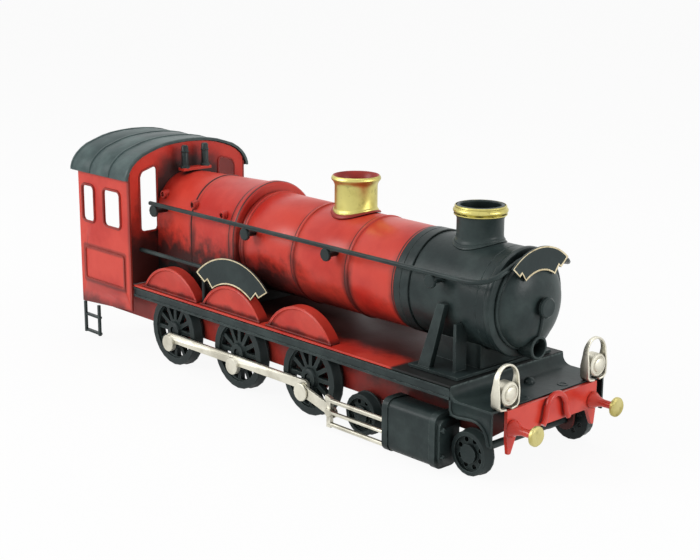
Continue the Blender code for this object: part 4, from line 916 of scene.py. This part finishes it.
# whistles: black posts with a foot and a neck ring, on a red pad
def buildPosts():
    look = dict(
        pad=0.0016, padTop=0.00165, inset=0.0026, r=0.0019, around=32, sharp=40.0,
        foot=((0.0009, -0.0002), (0.0008, 0.0006), (0.0003, 0.0013), (-0.0004, 0.0018)),
        neck=((-0.0003, -0.0042), (0.0004, -0.0038), (0.0004, -0.0032), (-0.0003, -0.0028)),
    )
    low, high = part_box("whistle_posts")
    piece = smoothCopy("whistle_posts", look["sharp"])
    piece.data.materials.append(satinBlack)
    piece.data.materials.append(boilerRed)
    for face in piece.data.polygons:
        if face.center.z < low.z + look["padTop"]:
            face.material_index = 1
    fit(piece, "whistlePostsSkin", satinBlack, "whistle_posts")
    foot = capped(stepped(look["r"], low.z + look["pad"], look["foot"]))
    neck = capped(stepped(look["r"], high.z, look["neck"]))
    for side, word in sides:
        y = (low.y if side < 0.0 else high.y) - side * look["inset"]
        post = ((low.x + high.x) / 2.0, y, 0.0)
        fit(turnPiece("z", post, foot, look["around"]), "whistleFoot" + word, satinBlack)
        fit(turnPiece("z", post, neck, look["around"]), "whistleNeck" + word, satinBlack)


# cab trim: a wire frame round each side window
def buildCabTrim():
    look = dict(
        windows=((-0.1615, -0.1500), (-0.1400, -0.1240)), bottom=0.0706, top=0.0914, corner=0.0030,
        grow=0.0004, wire=0.00075, half=0.0411,
    )
    grow = look["grow"]
    for side, word in sides:
        for number, (x0, x1) in enumerate(look["windows"], 1):
            box = roundedBox(x0 - grow, x1 + grow, look["bottom"] - grow, look["top"] + grow, look["corner"])
            ring = [(x, side * look["half"], z) for x, z in box]
            frameWire = bendWire(ring, look["wire"], True)
            fit(frameWire, "windowFrame" + word + str(number), frameLineRed)


# front platform trim: a bead along each curved skirt, two knobs and two eyes
def buildPlatformTrim():
    look = dict(
        x0=0.1283, half=0.0396, wire=0.0008, around=32,
        edge=((0.0004, 0.0335), (0.0005, 0.0290), (0.0018, 0.0270), (0.0050, 0.0267), (0.0090, 0.0272),
              (0.0130, 0.0276), (0.0160, 0.0274), (0.0182, 0.0266), (0.0205, 0.0248), (0.0218, 0.0228),
              (0.0232, 0.0180)),
        knobAt=(0.1366, 0.0050), eyeAt=(0.1488, 0.0140),
        knob=((0.0026, 0.0339), (0.0025, 0.0346), (0.0021, 0.0356), (0.0014, 0.0362), (0.0006, 0.0364)),
        eye=((0.0026, 0.0338), (0.0026, 0.0341), (0.0023, 0.0343), (0.0018, 0.0343), (0.0015, 0.0341),
             (0.0015, 0.03402)),
    )
    for side, word in sides:
        edge = [(look["x0"] + ahead, side * look["half"], z) for ahead, z in look["edge"]]
        fit(bendWire(edge, look["wire"]), "platformEdge" + word, satinBlack)
    for stem in ("knob", "eye"):
        x, y = look[stem + "At"]
        shape = capped(list(look[stem]))
        for side, word in sides:
            lump = turnPiece("z", (x, side * y, 0.0), shape, look["around"])
            fit(lump, "platform" + stem.capitalize() + word, satinBlack)


# a splasher's face lies a little behind its arched rim, above a folded foot
def buildSplasher(nodeName, side):
    look = dict(rim=0.0010, sink=0.0005, slim=0.0020, foot=0.0006, footOut=0.0003, footUp=0.0005, sharp=26.0)
    low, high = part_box(nodeName)
    piece = smoothCopy(nodeName, look["sharp"])
    for point in piece.data.vertices:
        if abs(point.co.y) < 0.5 * (abs(low.y) + abs(high.y)):
            point.co.y += side * look["slim"]
    pickFacing(piece, (0.0, side, 0.0))
    sinkPicked(look["rim"], look["sink"])
    fit(piece, nodeName + "Skin", splasherRed, nodeName)
    y = (high.y if side > 0.0 else low.y) + side * look["footOut"]
    z = deckZ + look["footUp"]
    run = [(low.x - look["foot"], y, z), (high.x + look["foot"], y, z)]
    fit(bendWire(run, look["foot"]), nodeName + "Foot", splasherRed)


# lamp: a drum with a stepped face inside a tapered band that is its handle too
def buildLamp(nodeName):
    look = dict(
        drum=0.0054, depth=0.0066, middle=0.0070, around=56, sharp=40.0, back=((-0.0006, 0.0), (0.0, 0.0006)),
        face=((0.0, -0.0014), (-0.0004, -0.0008), (-0.0012, -0.0007), (-0.0014, -0.0010),
              (-0.0019, -0.0010), (-0.0022, -0.0004), (-0.0027, -0.0001)),
        band=0.0010, bandDeep=0.0050, bandThin=0.0016, bandBehind=0.0012, bandCurve=0.7,
        lean=0.0016, rounding=0.0003,
        spread=0.0061, toe=(0.0016, 0.0004), heel=((-0.0012, 0.0008), (-0.0002, 0.0020)), bowSteps=14,
    )
    low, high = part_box(nodeName)
    y, front = (low.y + high.y) / 2.0, high.x
    middle, r, back = low.z + look["middle"], look["drum"], high.x - look["depth"]
    shape = [(0.0, back)] + stepped(r, back, look["back"]) + stepped(r, front, look["face"]) + [(0.0, front)]
    drum = turnPiece("x", (0.0, y, middle), shape, look["around"])
    fit(drum, nodeName + "Skin", paleNickel, nodeName)
    wide, top = look["spread"], high.z - look["band"] - look["spread"]
    path = stepped(0.0, low.z, [look["toe"]]) + stepped(wide, low.z, look["heel"])
    path += [(wide, middle), (wide, top)]
    for i in range(1, look["bowSteps"] + 1):
        turn = 0.5 * math.pi * i / look["bowSteps"]
        path.append((wide * math.cos(turn), top + wide * math.sin(turn)))
    path += [(-a, b) for a, b in reversed(path[:-1])]
    drawLine([(front - look["bandBehind"], y + a, b) for a, b in path])
    bpy.ops.mesh.select_all(action="SELECT")
    bpy.ops.mesh.extrude_region_move(TRANSFORM_OT_translate={"value": (-look["bandDeep"], 0.0, 0.0)})
    band = closeMesh(look["sharp"])
    for point in band.data.vertices:
        rise = min(max((point.co.z - middle) / (high.z - middle), 0.0), 1.0)
        if point.co.x < front - 0.5 * look["bandDeep"]:
            point.co.x += (look["bandDeep"] - look["bandThin"]) * rise ** look["bandCurve"]
        point.co.x -= look["lean"] * rise
    thick = band.modifiers.new("thick", "SOLIDIFY")
    thick.thickness = look["band"]
    thick.offset = 1.0
    soft = band.modifiers.new("round", "BEVEL")
    soft.width = look["rounding"]
    soft.segments = 2
    soft.limit_method = "ANGLE"
    soft.angle_limit = math.radians(wireAngle)
    only(band)
    bpy.ops.object.modifier_apply(modifier="thick")
    bpy.ops.object.modifier_apply(modifier="round")
    bpy.ops.object.mode_set(mode="EDIT")
    fit(closeMesh(look["sharp"]), nodeName + "Band", paleNickel)


# bogie wheels: the solid's shape, with the ring of openings cut through each web
def buildBogie(nodeName, body):
    look = dict(openings=8, ringR=0.0064, holeR=0.0012, holeLong=0.12, holeSides=16, sharp=34.0)
    low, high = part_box(nodeName)
    middle = (low + high) / 2.0
    across = (math.pi / 2.0, 0.0, 0.0)
    piece = smoothCopy(nodeName, look["sharp"])
    for i in range(look["openings"]):
        turn = math.tau * (i + 0.5) / look["openings"]
        ahead, up = look["ringR"] * math.cos(turn), look["ringR"] * math.sin(turn)
        bpy.ops.object.select_all(action="DESELECT")
        bpy.ops.mesh.primitive_cylinder_add(
            vertices=look["holeSides"], radius=look["holeR"], depth=look["holeLong"],
            location=(middle.x + ahead, 0.0, middle.z + up), rotation=across)
        bpy.ops.object.transform_apply(location=True, rotation=True, scale=True)
        cutWith(piece, bpy.context.active_object)
    fit(piece, nodeName + "Skin", wheelBlack, nodeName, body=body)


buildBarrel()
buildFirebox()
buildSmokebox()
buildDoor()
buildChimney()
buildDome()
print("boiler dressed")
buildPlate("side_plate_right", (0.0, -1.0, 0.0))
buildPlate("side_plate_left", (0.0, 1.0, 0.0))
buildPlate("front_plate", (1.0, 0.0, 0.0))
buildRoof()
buildCabFront()
buildCabSide("cab_side_right")
buildCabSide("cab_side_left")
buildPosts()
buildCabTrim()
buildPlatformTrim()
for side, word in sides:
    buildLamp("lamp_" + word.lower())
    for place in ("rear", "middle", "front"):
        buildSplasher("splasher_" + place + "_" + word.lower(), side)
buildBogie("bogie_wheels_rear", "bogie_rear")
buildBogie("bogie_wheels_front", "bogie_front")
print("plates, trim and bogie wheels fitted")

# the rest keeps the solid's shape in a smooth copy: name, finish and the angle that stays sharp
skins = [
    ("deck", deckRed, 30.0), ("front_platform", satinBlack, 40.0), ("buffer_beam", beamRed, 30.0),
    ("coupling_hoop", beamRed, 50.0), ("smokebox_saddle", satinBlack, 26.0), ("handrail", satinBlack, 46.0),
    ("driving_axle_rear", wheelBlack, 40.0), ("driving_axle_middle", wheelBlack, 40.0),
    ("driving_axle_front", wheelBlack, 40.0),
]
sidedSkins = [
    ("valance", satinBlack, 30.0), ("frame_plate", frameRed, 30.0), ("buffer_shank", beamRed, 46.0),
    ("buffer_head", paleBrass, 40.0), ("cab_steps", satinBlack, 30.0), ("grab_rail", satinBlack, 50.0),
    ("cylinder", satinBlack, 30.0), ("coupling_rod", paleNickel, 34.0), ("connecting_rod", paleNickel, 34.0),
    ("crosshead", paleNickel, 40.0), ("driving_wheel_rear", wheelBlack, 34.0),
    ("driving_wheel_middle", wheelBlack, 34.0), ("driving_wheel_front", wheelBlack, 34.0),
]
for stem, finish, angle in sidedSkins:
    skins += [(stem + "_right", finish, angle), (stem + "_left", finish, angle)]
for name, finish, angle in skins:
    fit(smoothCopy(name, angle), name + "Skin", finish, name, body=bodyOf[name])
print("solids dressed")


# floor: plain paper that shows near white and keeps the object's shadow
def buildStage():
    look = dict(
        size=60.0, shown=0.93, tone=solid(0.92, 0.92, 0.92),
        stain=solid(0.88, 0.88, 0.88), cloud=(3.0, 2.0), stainShare=0.1,
    )
    bpy.ops.object.select_all(action="DESELECT")
    bpy.ops.mesh.primitive_plane_add(size=look["size"], location=(0.0, 0.0, 0.0))
    floor = bpy.context.active_object
    floor.name = "paleFloor"
    paper = Finish("palePaper", Roughness=0.9, Specular_IOR_Level=0.1)
    stain = paper.noise(*look["cloud"]) * look["stainShare"]
    paper.set("Base Color", paper.blend(stain, look["tone"], look["stain"]))
    glow = paper.tree.nodes.new("ShaderNodeEmission")
    glow.inputs[0].default_value = solid(1.0, 1.0, 1.0)
    glow.inputs[1].default_value = 1.0
    rays = paper.tree.nodes.new("ShaderNodeLightPath").outputs
    seen = Wire(paper, rays["Is Camera Ray"]) + Wire(paper, rays["Is Glossy Ray"])
    seen = (seen + Wire(paper, rays["Is Transmission Ray"])).atMost(1.0)
    mix = paper.tree.nodes.new("ShaderNodeMixShader")
    paper.feed(mix.inputs[0], seen * look["shown"])
    paper.tree.links.new(paper.shader.outputs[0], mix.inputs[1])
    paper.tree.links.new(glow.outputs[0], mix.inputs[2])
    paper.tree.links.new(mix.outputs[0], paper.out.inputs[0])
    floor.data.materials.append(paper.material)


# a soft sky that shows white to the camera and in metal, and three square lamps
def buildLight():
    look = dict(sky=0.44, shown=1.0, aim=(0.0, 0.0, 0.06), lamps=(
        ("keyBox", (-0.55, -0.95, 0.66), 7.0, 0.50),
        ("fillBox", (1.10, 0.34, 0.42), 5.0, 0.42),
        ("topBox", (-0.15, 0.10, 1.20), 2.4, 0.60),
    ))
    world = bpy.data.worlds.new("paleStudio")
    bpy.context.scene.world = world
    world.use_nodes = True
    tree = world.node_tree
    tree.nodes.clear()
    out = tree.nodes.new("ShaderNodeOutputWorld")
    mix = tree.nodes.new("ShaderNodeMixShader")
    for socket, strength in ((1, look["sky"]), (2, look["shown"])):
        back = tree.nodes.new("ShaderNodeBackground")
        back.inputs[0].default_value = solid(1.0, 1.0, 1.0)
        back.inputs[1].default_value = strength
        tree.links.new(back.outputs[0], mix.inputs[socket])
    rays = tree.nodes.new("ShaderNodeLightPath").outputs
    seen = rays["Is Camera Ray"]
    for ray in ("Is Transmission Ray", "Is Glossy Ray"):
        either = tree.nodes.new("ShaderNodeMath")
        either.operation = "MAXIMUM"
        tree.links.new(seen, either.inputs[0])
        tree.links.new(rays[ray], either.inputs[1])
        seen = either.outputs[0]
    tree.links.new(seen, mix.inputs[0])
    tree.links.new(mix.outputs[0], out.inputs[0])
    for name, place, power, size in look["lamps"]:
        lamp = bpy.data.lights.new(name, "AREA")
        lamp.shape = "SQUARE"
        lamp.energy = power
        lamp.size = size
        holder = bpy.data.objects.new(name, lamp)
        bpy.context.scene.collection.objects.link(holder)
        holder.location = place
        holder.rotation_euler = (Vector(look["aim"]) - Vector(place)).to_track_quat("-Z", "Y").to_euler()


def buildCamera():
    look = dict(
        place=(0.53666, -0.48374, 0.24089), yaw=136.91, pitch=-14.23, roll=-0.29, lens=73.48, width=36.0,
        nearest=0.01, farthest=200.0,
    )
    sensor = bpy.data.cameras.new("photoCamera")
    sensor.sensor_fit = "HORIZONTAL"
    sensor.sensor_width = look["width"]
    sensor.lens = look["lens"]
    sensor.clip_start = look["nearest"]
    sensor.clip_end = look["farthest"]
    camera = bpy.data.objects.new("photoCamera", sensor)
    bpy.context.scene.collection.objects.link(camera)
    camera.location = look["place"]
    turns = (90.0 + look["pitch"], look["roll"], look["yaw"] - 90.0)
    camera.rotation_euler = tuple(math.radians(turn) for turn in turns)
    bpy.context.scene.camera = camera


buildStage()
buildLight()
buildCamera()
bpy.context.scene.view_settings.view_transform = "Standard"
print("floor, light and camera set")
